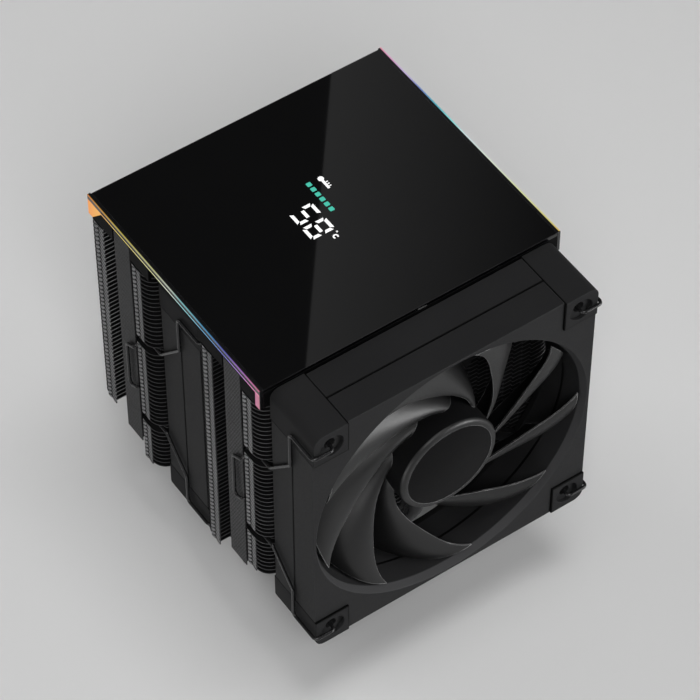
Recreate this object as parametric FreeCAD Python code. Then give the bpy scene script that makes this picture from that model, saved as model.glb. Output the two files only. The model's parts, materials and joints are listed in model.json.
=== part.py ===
import FreeCAD, Part
import os
from math import ceil, cos, radians, sin, tan

# Twin-tower air cooler for a processor, with two 120 mm fans and a lit display cover.
# Millimetres. +Z is up, the front (air intake) looks along -Y and X is to the right of it.
# The origin is the centre of the cold plate's lower face.

os.makedirs("parts", exist_ok=True)
V = FreeCAD.Vector
beyond = 1.0                    # how far a cutter runs past the faces that it opens

# ---- fin towers -------------------------------------------------------------------
cooler_height = 162.0           # from the cold plate to the top of the cover
tower_width = 127.0
tower_depth = 39.5
fins_per_tower = 52
fin_thickness = 0.4
fin_bottom_z = 43.2             # underside of the lowest fin
fin_corner_radius = 6.0         # front corners of a fin
fin_back_radius = 3.6
tab_gap = 0.1                   # a folded tab stops this far above the next fin
rib_notch_share = 0.2           # half width of the V cut in a rib's tab, as a share of the tab
rib_start = 6.0                 # all along the depth, from a tower's front face
rib_end = 11.1
hatch_end = 22.9
recess_end = 30.4
rib_two_end = 35.9
recess_depth = 6.0
hatch_inset = 0.3               # the wide flange stands this far inside the tower's side
edge_teeth = 14                 # small steps along a fin's front and back edge
edge_tooth_depth = 1.0
short_fins = 3                  # lowest fins, only next to the gap
half_fins = 2                   # the fins above those, without the outer column

# ---- heat pipes and base ----------------------------------------------------------
pipe_radius = 3.0
pipe_count = 6
pipe_base_gap = 0.4             # between neighbours, side by side in the base
pipe_fin_x = (10.0, 29.0, 48.0)       # legs in the fins, inner to outer
pipe_leg_depth = (30.25, 21.75, 12.75)        # from a tower's inner face
pipe_turn_shift = (-11.5, -6.0, 1.0)  # where a pipe turns up out of its run, from its leg
pipe_joint_drop = (11.2, 11.2, 9.2)   # where the sloping run meets the leg, below the fins
pipe_bend_radius = 9.0
pipe_tip_height = 2.0           # bare tip above the top fin
pipe_tip_radius = 1.6
pipe_fit = 0.03                 # solder gap round a pipe
base_side = 2.8                 # metal beside the outermost pipe
base_length = 40.0
base_height = 6.5
base_chamfer = 0.8
clamp_margin = 1.0              # the clamp block is this much smaller all round
clamp_slab_height = 5.5
clamp_rib_height = 7.0
clamp_rib_thickness = 1.2
clamp_rib_pitch = 2.9
clamp_ribs_per_side = 4

# ---- mounting ---------------------------------------------------------------------
bar_length = 96.0
bar_width = 14.0
bar_thickness = 2.5
bar_screw_x = 14.0
bar_screw_radius = 1.5
bar_screw_head_radius = 2.8
bar_screw_head_height = 1.8
bar_screw_depth = 4.5
bar_screw_socket = 1.2          # depth of the hexagon socket
mount_screw_x = 41.0
mount_screw_radius = 2.0
mount_screw_tip_z = 4.5
mount_screw_head_radius = 4.4
mount_screw_head_height = 4.2
mount_slot_width = 1.2
mount_slot_length = 5.6
mount_slot_depth = 1.8
mount_hole_clearance = 0.4
mount_groove_margin = 0.1       # the ring's groove is this much taller on each side
spring_free_length = 8.0
spring_coil_radius = 3.1
spring_wire_radius = 0.4
spring_turns = 4.5
spring_end_gap = 0.35
ring_outer_radius = 3.6
ring_thickness = 0.8
ring_groove_depth = 0.4
ring_running_fit = 0.05
ring_mouth_width = 2.6
body_gap = 0.4                  # least gap between pieces that move apart

# ---- fans -------------------------------------------------------------------------
fan_size = 120.0
fan_depth = 25.0
fan_corner_radius = 4.0
fan_hole_spacing = 105.0
fan_hole_radius = 2.15
fan_top_drop = 1.5              # the front fan's top, below the cover's
fan_to_tower = 0.5
middle_fan_room = 3.4           # free space in front of the middle fan
middle_fan_under = 1.8          # free space between the middle fan and the display's socket
duct_radius = 57.5
duct_lip = 1.4
duct_lip_depth = 3.0
seam_depth = 12.2
seam_width = 0.5
seam_cut = 0.4
pad_span = 14.5
pad_proud = 0.8
pad_plate = 1.6
pad_wall = 1.2
pad_window_radius = 4.8
strut_width = 4.0
strut_thickness = 3.0
strut_sunk = 1.5                # overlap with the back plate
strut_end_sunk = 0.8            # overlap with the frame, past the duct's lip
strut_angles = (40.0, 130.0, 220.0, 310.0)
cable_strut_width = 7.0
back_plate_radius = 21.5
back_plate_thickness = 3.0
hub_radius = 20.8
hub_wall = 1.8
hub_setback = 3.2               # hub's face behind the frame's rubber pads
hub_face_thickness = 2.0
hub_rim_radius = 1.7
hub_running_gap = 1.0           # hub's skirt to the back plate
hub_boss_length = 2.2
cap_radius = 18.2
cap_thickness = 0.5
blade_count = 9
blade_tip_gap = 1.3
blade_first_angle = 1.2         # degrees
blade_sweep = 80.5              # degrees that the leading edge trails from tip to root
blade_sweep_tip = 58.5          # degrees of sweep per whole span, as it starts at the tip
blade_sweep_bend = -72.0
blade_chord_tip = 33.0          # degrees of arc
blade_chord_root = 28.0
blade_tip_setback = 2.8         # leading edge, behind the pads' face
blade_middle_setback = 8.4
blade_root_setback = 11.3
blade_back_setback = 20.7       # trailing edge
blade_camber = 2.2
blade_nose = 0.9                # half thickness at the leading edge
blade_tail = 0.45
shaft_radius = 1.5
shaft_fit = 0.02
bearing_radius = 4.0
bearing_length = 13.0
bearing_into_plate = 0.5        # the bearing ends this far inside the back plate
bearing_step = 0.8              # width of the step that stops the bearing
bearing_well = 1.7              # depth of the well behind it, for the shaft's end
tube_wall = 0.9
tube_gap = 3.0                  # from the hub's inner face to the bearing's tube
shaft_end = 1.2                 # the shaft passes the bearing by this much
shaft_groove_start = 0.4
shaft_groove_width = 0.4
shaft_groove_depth = 0.3
shaft_ring_proud = 0.9
magnet_gap = 3.6                # from the hub's inner face to the magnet
magnet_thickness = 2.0
magnet_length = 10.0
pole_gap = 0.6
pole_count = 4
pole_width = 5.0
pole_height = 6.0
pole_shoe = 1.6
pole_shoe_width = 17.0
core_ring = 2.4
coil_thickness = 1.5
coil_gap = 0.3
board_thickness = 1.2
board_gap = 0.4                 # between the coils and the fan's circuit board
board_rim = 0.6                 # the board ends this far inside the poles

# ---- wire clips -------------------------------------------------------------------
wire_radius = 0.65
wire_gap = 0.3
wire_bend = 1.6
wire_hole_drop = 1.0            # the hooks hang this far below the screw holes' centres
wire_pin_reach = 1.4            # depth of a hook in its hole
wire_side_y = 13.0              # upright stretch on the fan's side, behind the pads' face
wire_upper_rise = 19.2          # where the wire enters the tower, above the fan's centre
wire_lower_drop = 25.7          # and below it
wire_knee_rise = 15.1           # from there up to the knee beside the fan
wire_knee_drop = 13.2
wire_groove_depth = 2.3
handle_top_drop = 7.0           # the finger loop, below the upper entry
handle_bottom_rise = 11.9       # and above the lower one
handle_reach = 5.6              # the finger loop lies this far behind the groove
handle_entry = 1.5              # height in which the wire leaves the groove
handle_slope = 3.0              # height in which it then reaches the loop's back

# ---- display cover ----------------------------------------------------------------
cover_skirt_height = 9.8        # from the cover's top to the skirt's lower edge
cover_tray = 1.9                # the tray's plate, over the fins
panel_thickness = 1.6
panel_chamfer = 0.3
cover_wall = 1.4
cover_ledge = 0.7
guide_width = 1.4
guide_fit = 0.1
guide_bar_width = 3.0
guide_bar_below = 0.1           # the guide's ends reach this far below the skirt
guide_patch_start = 9.0
guide_patch_end = 2.6
guide_seam_height = 0.5
guide_seam_cut = 0.3
led_strip_width = 1.0
led_strip_height = 1.0
led_count = 12
led_size = 0.5
led_length = 2.0
led_margin = 0.1
window_size = (42.0, 28.6)
display_size = (38.0, 27.0)
display_board_size = (56.0, 28.4)
display_gap = 0.2
magnet_disc_radius = 3.0
magnet_disc_height = 1.4
magnet_place = (38.0, 42.0)
board_screw_radius = 1.0
board_screw_head = 1.9
board_screw_head_height = 1.2
board_screw_end_gap = 0.2
board_hole_floor = 0.4          # metal left over the screws' holes
board_screw_x = 24.5
board_screw_y = 10.0
socket_size = (10.0, 6.0, 3.2)
socket_wall = 0.8
socket_x = 10.0

# ---- places worked out from the sizes ---------------------------------------------
cover_top_z = cooler_height
panel_bottom_z = cover_top_z - panel_thickness
cover_plate_z = panel_bottom_z - cover_tray
cover_skirt_z = cover_top_z - cover_skirt_height
ledge_top_z = cover_plate_z + cover_ledge
guide_bar_z = cover_skirt_z - guide_bar_below
fins_top_z = cover_plate_z - body_gap
fin_pitch = (fins_top_z - fin_thickness - fin_bottom_z) / (fins_per_tower - 1)
cover_fins = ceil((fins_top_z - cover_skirt_z + body_gap) / fin_pitch)
tab_height = fin_pitch - fin_thickness - tab_gap
fan_back_to_face = fan_depth + 2 * pad_proud
tower_gap = middle_fan_room + fan_back_to_face + fan_to_tower
half_width = tower_width / 2
front_tower_y = -tower_gap / 2 - tower_depth
rear_tower_y = tower_gap / 2
cover_front_y = front_tower_y
cover_back_y = rear_tower_y + tower_depth
skirt_inner_x = half_width - cover_wall
trim_x = skirt_inner_x - body_gap
pipe_base_pitch = 2 * pipe_radius + pipe_base_gap
base_width = pipe_count * pipe_base_pitch + 2 * base_side
clamp_z = base_height + clamp_slab_height
bar_top_z = clamp_z + bar_thickness
ring_top_z = clamp_z - body_gap
fan_half = fan_size / 2
hole_half = fan_hole_spacing / 2
fan_centre_z = cover_top_z - fan_top_drop - fan_half
fan_step_y = tower_depth + tower_gap
board_under_z = cover_plate_z - board_thickness
middle_fan_top_z = board_under_z - socket_size[2] - middle_fan_under
middle_fan_drop = fan_centre_z + fan_half - middle_fan_top_z
front_fan_y = front_tower_y - fan_to_tower - fan_back_to_face + pad_proud
back_fan_y = front_fan_y + fan_depth
hub_face_y = front_fan_y - pad_proud + hub_setback
hub_inner_y = hub_face_y + hub_face_thickness
shaft_start_y = hub_face_y + hub_face_thickness / 2
blade_tip_radius = duct_radius - blade_tip_gap
blade_root_radius = hub_radius - hub_wall / 2
bearing_end_y = back_fan_y - back_plate_thickness + bearing_into_plate
shaft_groove_y = bearing_end_y + shaft_groove_start
magnet_start_y = hub_inner_y + magnet_gap
pole_outer_radius = hub_radius - hub_wall - magnet_thickness - pole_gap
pole_start_y = magnet_start_y + (magnet_length - pole_height) / 2
pole_end_y = pole_start_y + pole_height
wire_front_y = front_fan_y - pad_proud - wire_gap - wire_radius
wire_side_x = fan_half + wire_gap + wire_radius
wire_groove_x = half_width - wire_groove_depth
handle_x = half_width - hatch_inset + wire_gap + wire_radius
groove_width = 2 * (wire_radius + wire_gap)
groove_mid = rib_end + groove_width / 2
hatch_start = rib_end + groove_width
groove_slope = (wire_groove_x - hole_half) / (front_tower_y + groove_mid - wire_front_y)
groove_floor_x = wire_groove_x - wire_radius - wire_gap
groove_shift = groove_slope * (half_width - groove_floor_x)
notch_x = wire_side_x - wire_radius - wire_gap
hatch_x = half_width - hatch_inset


def save(name, shape):
    shape.exportStep("parts/" + name + ".step")


def group(shapes):
    return Part.makeCompound(shapes)


def block(x0, x1, y0, y1, z0, z1):
    return Part.makeBox(x1 - x0, y1 - y0, z1 - z0, V(x0, y0, z0))


def upright(radius, z0, z1, x=0.0, y=0.0):
    return Part.makeCylinder(radius, z1 - z0, V(x, y, z0), V(0, 0, 1))


def axle(radius, y0, y1, x=0.0, z=0.0):
    return Part.makeCylinder(radius, y1 - y0, V(x, y0, z), V(0, 1, 0))


def mirrored(shape):
    return shape.mirror(V(0, 0, 0), V(1, 0, 0))


def rounded(points, radii, closed=False):
    """Straight runs joined by tangent arcs; one radius for each corner, 0 for a sharp one."""
    count = len(points)
    starts, ends, arcs = {}, {}, {}
    for i in range(count):
        ends[i] = starts[i] = points[i]
        at_end = not closed and i in (0, count - 1)
        if at_end or radii[i] <= 0:
            continue
        back = (points[i - 1] - points[i]).normalize()
        ahead = (points[(i + 1) % count] - points[i]).normalize()
        half = back.getAngle(ahead) / 2
        reach = radii[i] / tan(half)
        middle = (back + ahead).normalize()
        ends[i] = points[i] + back * reach
        starts[i] = points[i] + ahead * reach
        top = points[i] + middle * (radii[i] / sin(half) - radii[i])
        arcs[i] = Part.Arc(ends[i], top, starts[i]).toShape()
    edges = []
    for i in range(count if closed else count - 1):
        if i in arcs:
            edges.append(arcs[i])
        following = (i + 1) % count
        if (ends[following] - starts[i]).Length > 1e-6:
            edges.append(Part.LineSegment(starts[i], ends[following]).toShape())
    return Part.Wire(edges)


def slab(points, radii, z0, z1):
    """A flat plate from an outline in plan."""
    wire = rounded([V(x, y, z0) for x, y in points], radii, closed=True)
    return Part.Face(wire).extrude(V(0, 0, z1 - z0))


def side_plate(points, x0, x1):
    """A flat plate from an outline of (y, z) points, standing across X."""
    corners = [V(x0, y, z) for y, z in points]
    return Part.Face(Part.makePolygon(corners + corners[:1])).extrude(V(x1 - x0, 0, 0))


def swept(wire, radius):
    """A round rod along a wire of straight runs and arcs."""
    first = wire.OrderedEdges[0]
    start = wire.OrderedVertexes[0].Point
    along = first.tangentAt(first.FirstParameter)
    if (first.valueAt(first.FirstParameter) - start).Length > 1e-6:
        along = first.tangentAt(first.LastParameter) * -1
    profile = Part.Wire(Part.makeCircle(radius, start, along))
    return wire.makePipeShell([profile], True, False)


# ---- fins -------------------------------------------------------------------------

def pipe_legs(tower_y):
    """Centres of the six upright pipe legs in one tower."""
    side = -1 if tower_y < 0 else 1
    return [V(sx * x, side * (rear_tower_y + depth), 0)
            for x, depth in zip(pipe_fin_x, pipe_leg_depth) for sx in (-1, 1)]


def toothed_edge(y, inward, x_end):
    """The stepped front or back edge of a fin, from -x_end to x_end."""
    pitch = 2 * x_end / (edge_teeth + 0.5)
    points = []
    for i in range(edge_teeth):
        left = -x_end + (i + 0.5) * pitch
        right = left + pitch / 2
        points += [(left, y), (left, y + inward), (right, y + inward), (right, y)]
    return points


def fin_side(kind):
    """Right-hand edge of a fin as (x, depth, radius), from its front corner to its back corner."""
    inner_x = half_width - recess_depth
    if kind == "cover":
        front = [(trim_x, 0, fin_corner_radius - cover_wall), (trim_x, hatch_start, 0)]
        back = [(trim_x, recess_end, 0), (trim_x, tower_depth, fin_back_radius - cover_wall)]
    else:
        back = [(half_width, recess_end, 0), (half_width, tower_depth, fin_back_radius)]
        if kind == "notch":
            front = [(notch_x, 0, fin_corner_radius / 2), (notch_x, hatch_start, 0)]
        else:
            front = [(half_width, 0, fin_corner_radius), (half_width, rib_end, 0),
                     (groove_floor_x, rib_end + groove_shift, 0),
                     (groove_floor_x, hatch_start + groove_shift, 0)]
    middle = [(hatch_x, hatch_start, 0), (hatch_x, hatch_end, 0), (inner_x, hatch_end, 0),
              (inner_x, recess_end, 0)]
    return front + middle + back


def fin_plate(tower_y, kind):
    """The flat sheet of a fin with its pipe holes, at z = 0."""
    right = fin_side(kind)
    front_cut = back_cut = 0.0
    if kind == "cover":
        front_cut = cover_wall + body_gap if tower_y < 0 else 0.0
        back_cut = cover_wall + body_gap if tower_y > 0 else 0.0
    first_y = tower_y + front_cut
    last_y = tower_y + tower_depth - back_cut
    front_x = right[0][0] - fin_corner_radius
    back_x = right[-1][0] - fin_corner_radius
    right = [(x, min(max(tower_y + depth, first_y), last_y), r) for x, depth, r in right]
    outline = [(x, y, 0) for x, y in toothed_edge(first_y, edge_tooth_depth, front_x)]
    outline += right
    back_edge = toothed_edge(last_y, -edge_tooth_depth, back_x)
    outline += [(x, y, 0) for x, y in reversed(back_edge)]
    outline += [(-x, y, r) for x, y, r in reversed(right)]
    points = [V(x, y, 0) for x, y, r in outline]
    wires = [rounded(points, [r for x, y, r in outline], closed=True)]
    for leg in pipe_legs(tower_y):
        wires.append(Part.Wire(Part.makeCircle(pipe_radius + pipe_fit, leg)))
    face = Part.makeFace(wires, "Part::FaceMakerBullseye")
    return face.extrude(V(0, 0, fin_thickness))


def rib_tab(y0, y1):
    """A folded tab with a V cut in its lower edge."""
    middle = (y0 + y1) / 2
    cut = (y1 - y0) * rib_notch_share
    low = -tab_height
    points = [(y0, 0), (y0, low), (middle - cut, low), (middle, low / 2), (middle + cut, low),
              (y1, low), (y1, 0)]
    return side_plate(points, half_width - fin_thickness, half_width)


def fin_tabs(tower_y, with_front):
    """The tabs folded down along both sides, which close the columns."""
    tabs = [block(hatch_x - fin_thickness, hatch_x, tower_y + hatch_start, tower_y + hatch_end,
                  -tab_height, 0)]
    if with_front:
        tabs.append(rib_tab(tower_y + rib_start, tower_y + rib_end))
        tabs.append(rib_tab(tower_y + recess_end, tower_y + rib_two_end))
    return tabs + [mirrored(tab) for tab in tabs]


def kept_region(tower_y, index):
    """Where a low fin has metal: the lowest ones only lie next to the gap."""
    low, high, wide = -fin_pitch, fin_pitch, half_width + beyond
    core_x = half_width - recess_depth
    start, end = tower_y - beyond, tower_y + tower_depth + beyond
    if index < short_fins:
        inner, side = tower_depth - hatch_end, groove_mid
    else:
        inner = side = tower_depth - hatch_start
    if tower_y < 0:
        return block(-wide, wide, tower_y + tower_depth - inner, end, low, high)
    core = block(-core_x, core_x, start, tower_y + inner, low, high)
    return core.fuse(block(-wide, wide, start, tower_y + side, low, high))


def notch_index(wire_z):
    """The fin nearest to a wire's height."""
    return round((wire_z - fin_thickness / 2 - fin_bottom_z) / fin_pitch)


def fin_middle_z(index):
    return fin_bottom_z + index * fin_pitch + fin_thickness / 2


def tower(tower_y, notches):
    """All fins of a tower. notches are the fins that give way to a clip's wire."""
    made = {}
    fins = []
    for index in range(fins_per_tower):
        low = index < short_fins + half_fins
        kind = "full"
        if index >= fins_per_tower - cover_fins:
            kind = "cover"
        elif index in notches:
            kind = "notch"
        with_rib = kind != "cover"
        level = 0
        if low:
            level = 1 if index < short_fins else 2
        key = (kind, with_rib, level, index - 1 in notches)
        if key not in made:
            shape = fin_plate(tower_y, kind).multiFuse(fin_tabs(tower_y, with_rib))
            if kind == "notch" or index - 1 in notches:
                top = fin_pitch if kind == "notch" else 0
                for sx in (-1, 1):
                    x0, x1 = sorted((sx * notch_x, sx * (half_width + beyond)))
                    shape = shape.cut(block(x0, x1, tower_y - beyond, tower_y + groove_mid,
                                            -fin_pitch, top))
            if low:
                shape = shape.common(kept_region(tower_y, index))
            made[key] = shape.Solids[0] if len(shape.Solids) == 1 else shape
        z = fin_bottom_z + index * fin_pitch
        for solid in made[key].Solids:
            fins.append(solid.translated(V(0, 0, z)))
    return group(fins)


# ---- heat pipes, base and mounting ------------------------------------------------

def pipe_base_x(index):
    return (index - (pipe_count - 1) / 2) * pipe_base_pitch


def heat_pipe(index):
    """One pipe: flat run through the base, then a leg up through each tower."""
    base_x = pipe_base_x(index)
    side = -1 if base_x < 0 else 1
    order = int(abs(base_x) / pipe_base_pitch)
    leg_x = side * pipe_fin_x[order]
    leg_y = rear_tower_y + pipe_leg_depth[order]
    turn_y = leg_y + pipe_turn_shift[order]
    joint_z = fin_bottom_z - pipe_joint_drop[order]
    half = [V(base_x, turn_y, base_height), V(leg_x, leg_y, joint_z), V(leg_x, leg_y, fins_top_z)]
    points = [V(p.x, -p.y, p.z) for p in reversed(half)] + half
    body = swept(rounded(points, [pipe_bend_radius] * len(points)), pipe_radius)
    tips = [Part.makeCone(pipe_radius, pipe_tip_radius, pipe_tip_height,
                          V(leg_x, sy * leg_y, fins_top_z)) for sy in (-1, 1)]
    return body.multiFuse(tips).removeSplitter()


def pipe_grooves():
    half = base_length
    return [axle(pipe_radius + pipe_fit, -half, half, pipe_base_x(i), base_height)
            for i in range(pipe_count)]


def base_plate():
    plate = block(-base_width / 2, base_width / 2, -base_length / 2, base_length / 2, 0, base_height)
    low_edges = [e for e in plate.Edges if e.BoundBox.ZMax < 1e-6]
    return plate.makeChamfer(base_chamfer, low_edges).cut(group(pipe_grooves()))


def base_top():
    half_x = base_width / 2 - clamp_margin
    half_y = base_length / 2 - clamp_margin
    shape = block(-half_x, half_x, -half_y, half_y, base_height, clamp_z)
    ribs = []
    for i in range(clamp_ribs_per_side):
        outer = half_y - i * clamp_rib_pitch
        for y0, y1 in ((outer - clamp_rib_thickness, outer), (-outer, clamp_rib_thickness - outer)):
            ribs.append(block(-half_x, half_x, y0, y1, clamp_z, clamp_z + clamp_rib_height))
    shape = shape.multiFuse(ribs).cut(group(pipe_grooves()))
    bores = [upright(bar_screw_radius, clamp_z - bar_screw_depth / 2, clamp_z + beyond,
                     sx * bar_screw_x) for sx in (-1, 1)]
    return shape.cut(group(bores))


def mount_crossbar():
    points = [(-bar_length / 2, -bar_width / 2), (bar_length / 2, -bar_width / 2),
              (bar_length / 2, bar_width / 2), (-bar_length / 2, bar_width / 2)]
    bar = slab(points, [bar_width / 3] * 4, clamp_z, bar_top_z)
    holes = []
    for sx in (-1, 1):
        holes.append(upright(bar_screw_radius + pipe_fit, 0, cover_top_z, sx * bar_screw_x))
        holes.append(upright(mount_screw_radius + mount_hole_clearance, 0, cover_top_z,
                             sx * mount_screw_x))
    return bar.cut(group(holes))


def crossbar_screws():
    screws = []
    for sx in (-1, 1):
        x = sx * bar_screw_x
        head_top = bar_top_z + bar_screw_head_height
        head = upright(bar_screw_head_radius, bar_top_z, head_top, x)
        shank = upright(bar_screw_radius, clamp_z - bar_screw_depth / 2, bar_top_z, x)
        recess = Part.makePolygon([V(x + bar_screw_radius * cos(radians(a)),
                                     bar_screw_radius * sin(radians(a)), head_top - bar_screw_socket)
                                   for a in range(0, 361, 60)])
        recess = Part.Face(recess).extrude(V(0, 0, bar_screw_head_height))
        screws.append(head.fuse(shank).cut(recess))
    return group(screws)


def mounting_screw():
    """Captive screw on the right: slotted head, shank, groove for its ring, plain tip."""
    x = mount_screw_x
    head_z = bar_top_z + spring_free_length
    top_z = head_z + mount_screw_head_height
    shape = upright(mount_screw_head_radius, head_z, top_z, x)
    shape = shape.fuse(upright(mount_screw_radius, mount_screw_tip_z, head_z, x))
    slot_a = block(x - mount_slot_length / 2, x + mount_slot_length / 2, -mount_slot_width / 2,
                   mount_slot_width / 2, top_z - mount_slot_depth, top_z + beyond)
    slot_b = slot_a.copy()
    slot_b.rotate(V(x, 0, 0), V(0, 0, 1), 90)
    outside = upright(mount_screw_radius + beyond, ring_top_z - ring_thickness - mount_groove_margin,
                      ring_top_z + mount_groove_margin, x)
    core = upright(mount_screw_radius - ring_groove_depth, 0, head_z, x)
    shape = shape.cut(group([slot_a, slot_b])).cut(outside.cut(core))
    return shape.removeSplitter()


def screw_ring():
    """Split ring that keeps the right-hand screw in the crossbar."""
    x = mount_screw_x
    inner = mount_screw_radius - ring_groove_depth + ring_running_fit
    ring = upright(ring_outer_radius, ring_top_z - ring_thickness, ring_top_z, x)
    ring = ring.cut(upright(inner, 0, cover_top_z, x))
    mouth = block(x, x + ring_outer_radius + beyond, -ring_mouth_width / 2, ring_mouth_width / 2, 0,
                  cover_top_z)
    return ring.cut(mouth)


def mounting_spring():
    length = spring_free_length - 2 * spring_end_gap - 2 * spring_wire_radius
    helix = Part.makeHelix(length / spring_turns, length, spring_coil_radius)
    helix.translate(V(mount_screw_x, 0, bar_top_z + spring_end_gap + spring_wire_radius))
    edge = helix.Edges[0]
    start = edge.valueAt(edge.FirstParameter)
    profile = Part.Wire(Part.makeCircle(spring_wire_radius, start, edge.tangentAt(edge.FirstParameter)))
    return Part.Wire(helix.Edges).makePipeShell([profile], True, True)


# ---- fans -------------------------------------------------------------------------
# Every fan piece is built for the front fan, at its own place, and moved for the middle one.

def fan_face(setback):
    """Y of a plane that lies setback behind the rubber pads' face."""
    return front_fan_y - pad_proud + setback


def round_square(half, radius, y0, y1):
    corners = [V(sx * half, y0, fan_centre_z + sz * half)
               for sx, sz in ((-1, -1), (1, -1), (1, 1), (-1, 1))]
    return Part.Face(rounded(corners, [radius] * 4, closed=True)).extrude(V(0, y1 - y0, 0))


def corner_blocks(inner, outer, y0, y1):
    """Four blocks over the fan's corners, between two distances from its axis."""
    blocks = []
    for sx in (-1, 1):
        for sz in (-1, 1):
            x0, x1 = sorted((sx * inner, sx * outer))
            z0, z1 = sorted((sz * inner, sz * outer))
            blocks.append(block(x0, x1, y0, y1, fan_centre_z + z0, fan_centre_z + z1))
    return blocks


def corner_axles(radius, y0, y1):
    return [axle(radius, y0, y1, sx * hole_half, fan_centre_z + sz * hole_half)
            for sx in (-1, 1) for sz in (-1, 1)]


def fan_frame():
    pad_inner = fan_half - pad_span
    sunk = pad_plate - pad_proud
    front, back = front_fan_y - beyond, back_fan_y + beyond
    shape = round_square(fan_half, fan_corner_radius, front_fan_y, back_fan_y)
    belt = round_square(fan_half + beyond, fan_corner_radius, front_fan_y + seam_depth,
                        front_fan_y + seam_depth + seam_width)
    belt = belt.cut(round_square(fan_half - seam_cut, fan_corner_radius, front, back))
    shape = shape.cut(belt)
    cuts = [axle(duct_radius, front, back, 0, fan_centre_z)]
    cuts.append(Part.makeCone(duct_radius + duct_lip, duct_radius, duct_lip_depth,
                              V(0, front_fan_y, fan_centre_z), V(0, 1, 0)))
    cuts.append(Part.makeCone(duct_radius, duct_radius + duct_lip, duct_lip_depth,
                              V(0, back_fan_y - duct_lip_depth, fan_centre_z), V(0, 1, 0)))
    cuts += corner_axles(fan_hole_radius, front, back)
    for corner in corner_blocks(pad_inner, fan_half + beyond, front, back):
        core = round_square(fan_half - pad_wall, fan_corner_radius - pad_wall, front_fan_y + sunk,
                            back_fan_y - sunk)
        cuts.append(corner.cut(core))
    shape = shape.cut(group(cuts))
    parts = [axle(back_plate_radius, back_fan_y - back_plate_thickness, back_fan_y, 0, fan_centre_z),
             axle(bearing_radius + tube_wall, hub_inner_y + tube_gap, back_fan_y, 0, fan_centre_z)]
    for number, angle in enumerate(strut_angles):
        width = cable_strut_width if number == len(strut_angles) - 1 else strut_width
        strut = block(back_plate_radius - strut_sunk, duct_radius + duct_lip + strut_end_sunk,
                      back_fan_y - strut_thickness, back_fan_y, -width / 2, width / 2)
        strut.rotate(V(0, 0, 0), V(0, 1, 0), angle)
        parts.append(strut.translated(V(0, 0, fan_centre_z)))
    shape = shape.multiFuse(parts)
    bore = axle(bearing_radius, front, bearing_end_y, 0, fan_centre_z)
    well = axle(bearing_radius - bearing_step, front, bearing_end_y + bearing_well, 0, fan_centre_z)
    return shape.cut(group([bore, well])).removeSplitter()


def fan_pads():
    """Rubber corner pieces, wrapped round the frame from its front to its back face."""
    front, back = front_fan_y - pad_proud, back_fan_y + pad_proud
    outside = round_square(fan_half, fan_corner_radius, front, back)
    core = round_square(fan_half - pad_wall, fan_corner_radius - pad_wall, front + pad_plate,
                        back - pad_plate)
    windows = corner_axles(pad_window_radius, front - beyond, back + beyond)
    pads = []
    for corner in corner_blocks(fan_half - pad_span, fan_half + beyond, front - beyond, back + beyond):
        pads.append(corner.common(outside).cut(core).cut(group(windows)))
    return group(pads)


def blade_setback(share):
    """Leading edge's setback, for a share of the span that is 0 at the tip and 1 at the root."""
    tip, middle, root = blade_tip_setback, blade_middle_setback, blade_root_setback
    return tip * (1 - share) ** 2 + 2 * middle * share * (1 - share) + root * share ** 2


def blade_sweep_at(share):
    """Degrees that the leading edge trails its tip."""
    last = blade_sweep - blade_sweep_tip - blade_sweep_bend
    return blade_sweep_tip * share + blade_sweep_bend * share ** 2 + last * share ** 3


def blade_point(radius, chord_share, offset):
    """A point of a blade: radius, share of the chord from the leading edge, offset to the front."""
    share = (blade_tip_radius - radius) / (blade_tip_radius - blade_root_radius)
    chord = blade_chord_tip + (blade_chord_root - blade_chord_tip) * share
    angle = radians(blade_first_angle - blade_sweep_at(share) - chord * chord_share)
    nose = blade_setback(share)
    setback = nose + (blade_back_setback - nose) * chord_share ** blade_camber
    return V(radius * cos(angle), fan_face(setback) - offset, fan_centre_z + radius * sin(angle))


def blade():
    """One swept blade between its root inside the hub's wall and its free tip."""
    spans, chords = 7, 7
    radii = [blade_root_radius + (blade_tip_radius - blade_root_radius) * i / (spans - 1)
             for i in range(spans)]
    skins = []
    for side in (1, -1):
        grid = []
        for radius in radii:
            row = []
            for j in range(chords):
                share = j / (chords - 1)
                thick = blade_nose + (blade_tail - blade_nose) * share
                row.append(blade_point(radius, share, side * thick))
            grid.append(row)
        skin = Part.BSplineSurface()
        skin.interpolate(grid)
        skins.append(skin)
    faces = [skin.toShape() for skin in skins]
    u0, u1, v0, v1 = skins[0].bounds()
    for pick in (lambda s: s.uIso(u0), lambda s: s.uIso(u1), lambda s: s.vIso(v0),
                 lambda s: s.vIso(v1)):
        edges = [pick(skin).toShape() for skin in skins]
        faces.append(Part.makeRuledSurface(edges[0], edges[1]))
    shell = Part.makeShell(faces)
    shell.sewShape()
    solid = Part.makeSolid(shell.Shells[0] if shell.Shells else Part.Shell(shell.Faces))
    if solid.Volume < 0:
        solid.reverse()
    return solid


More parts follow.
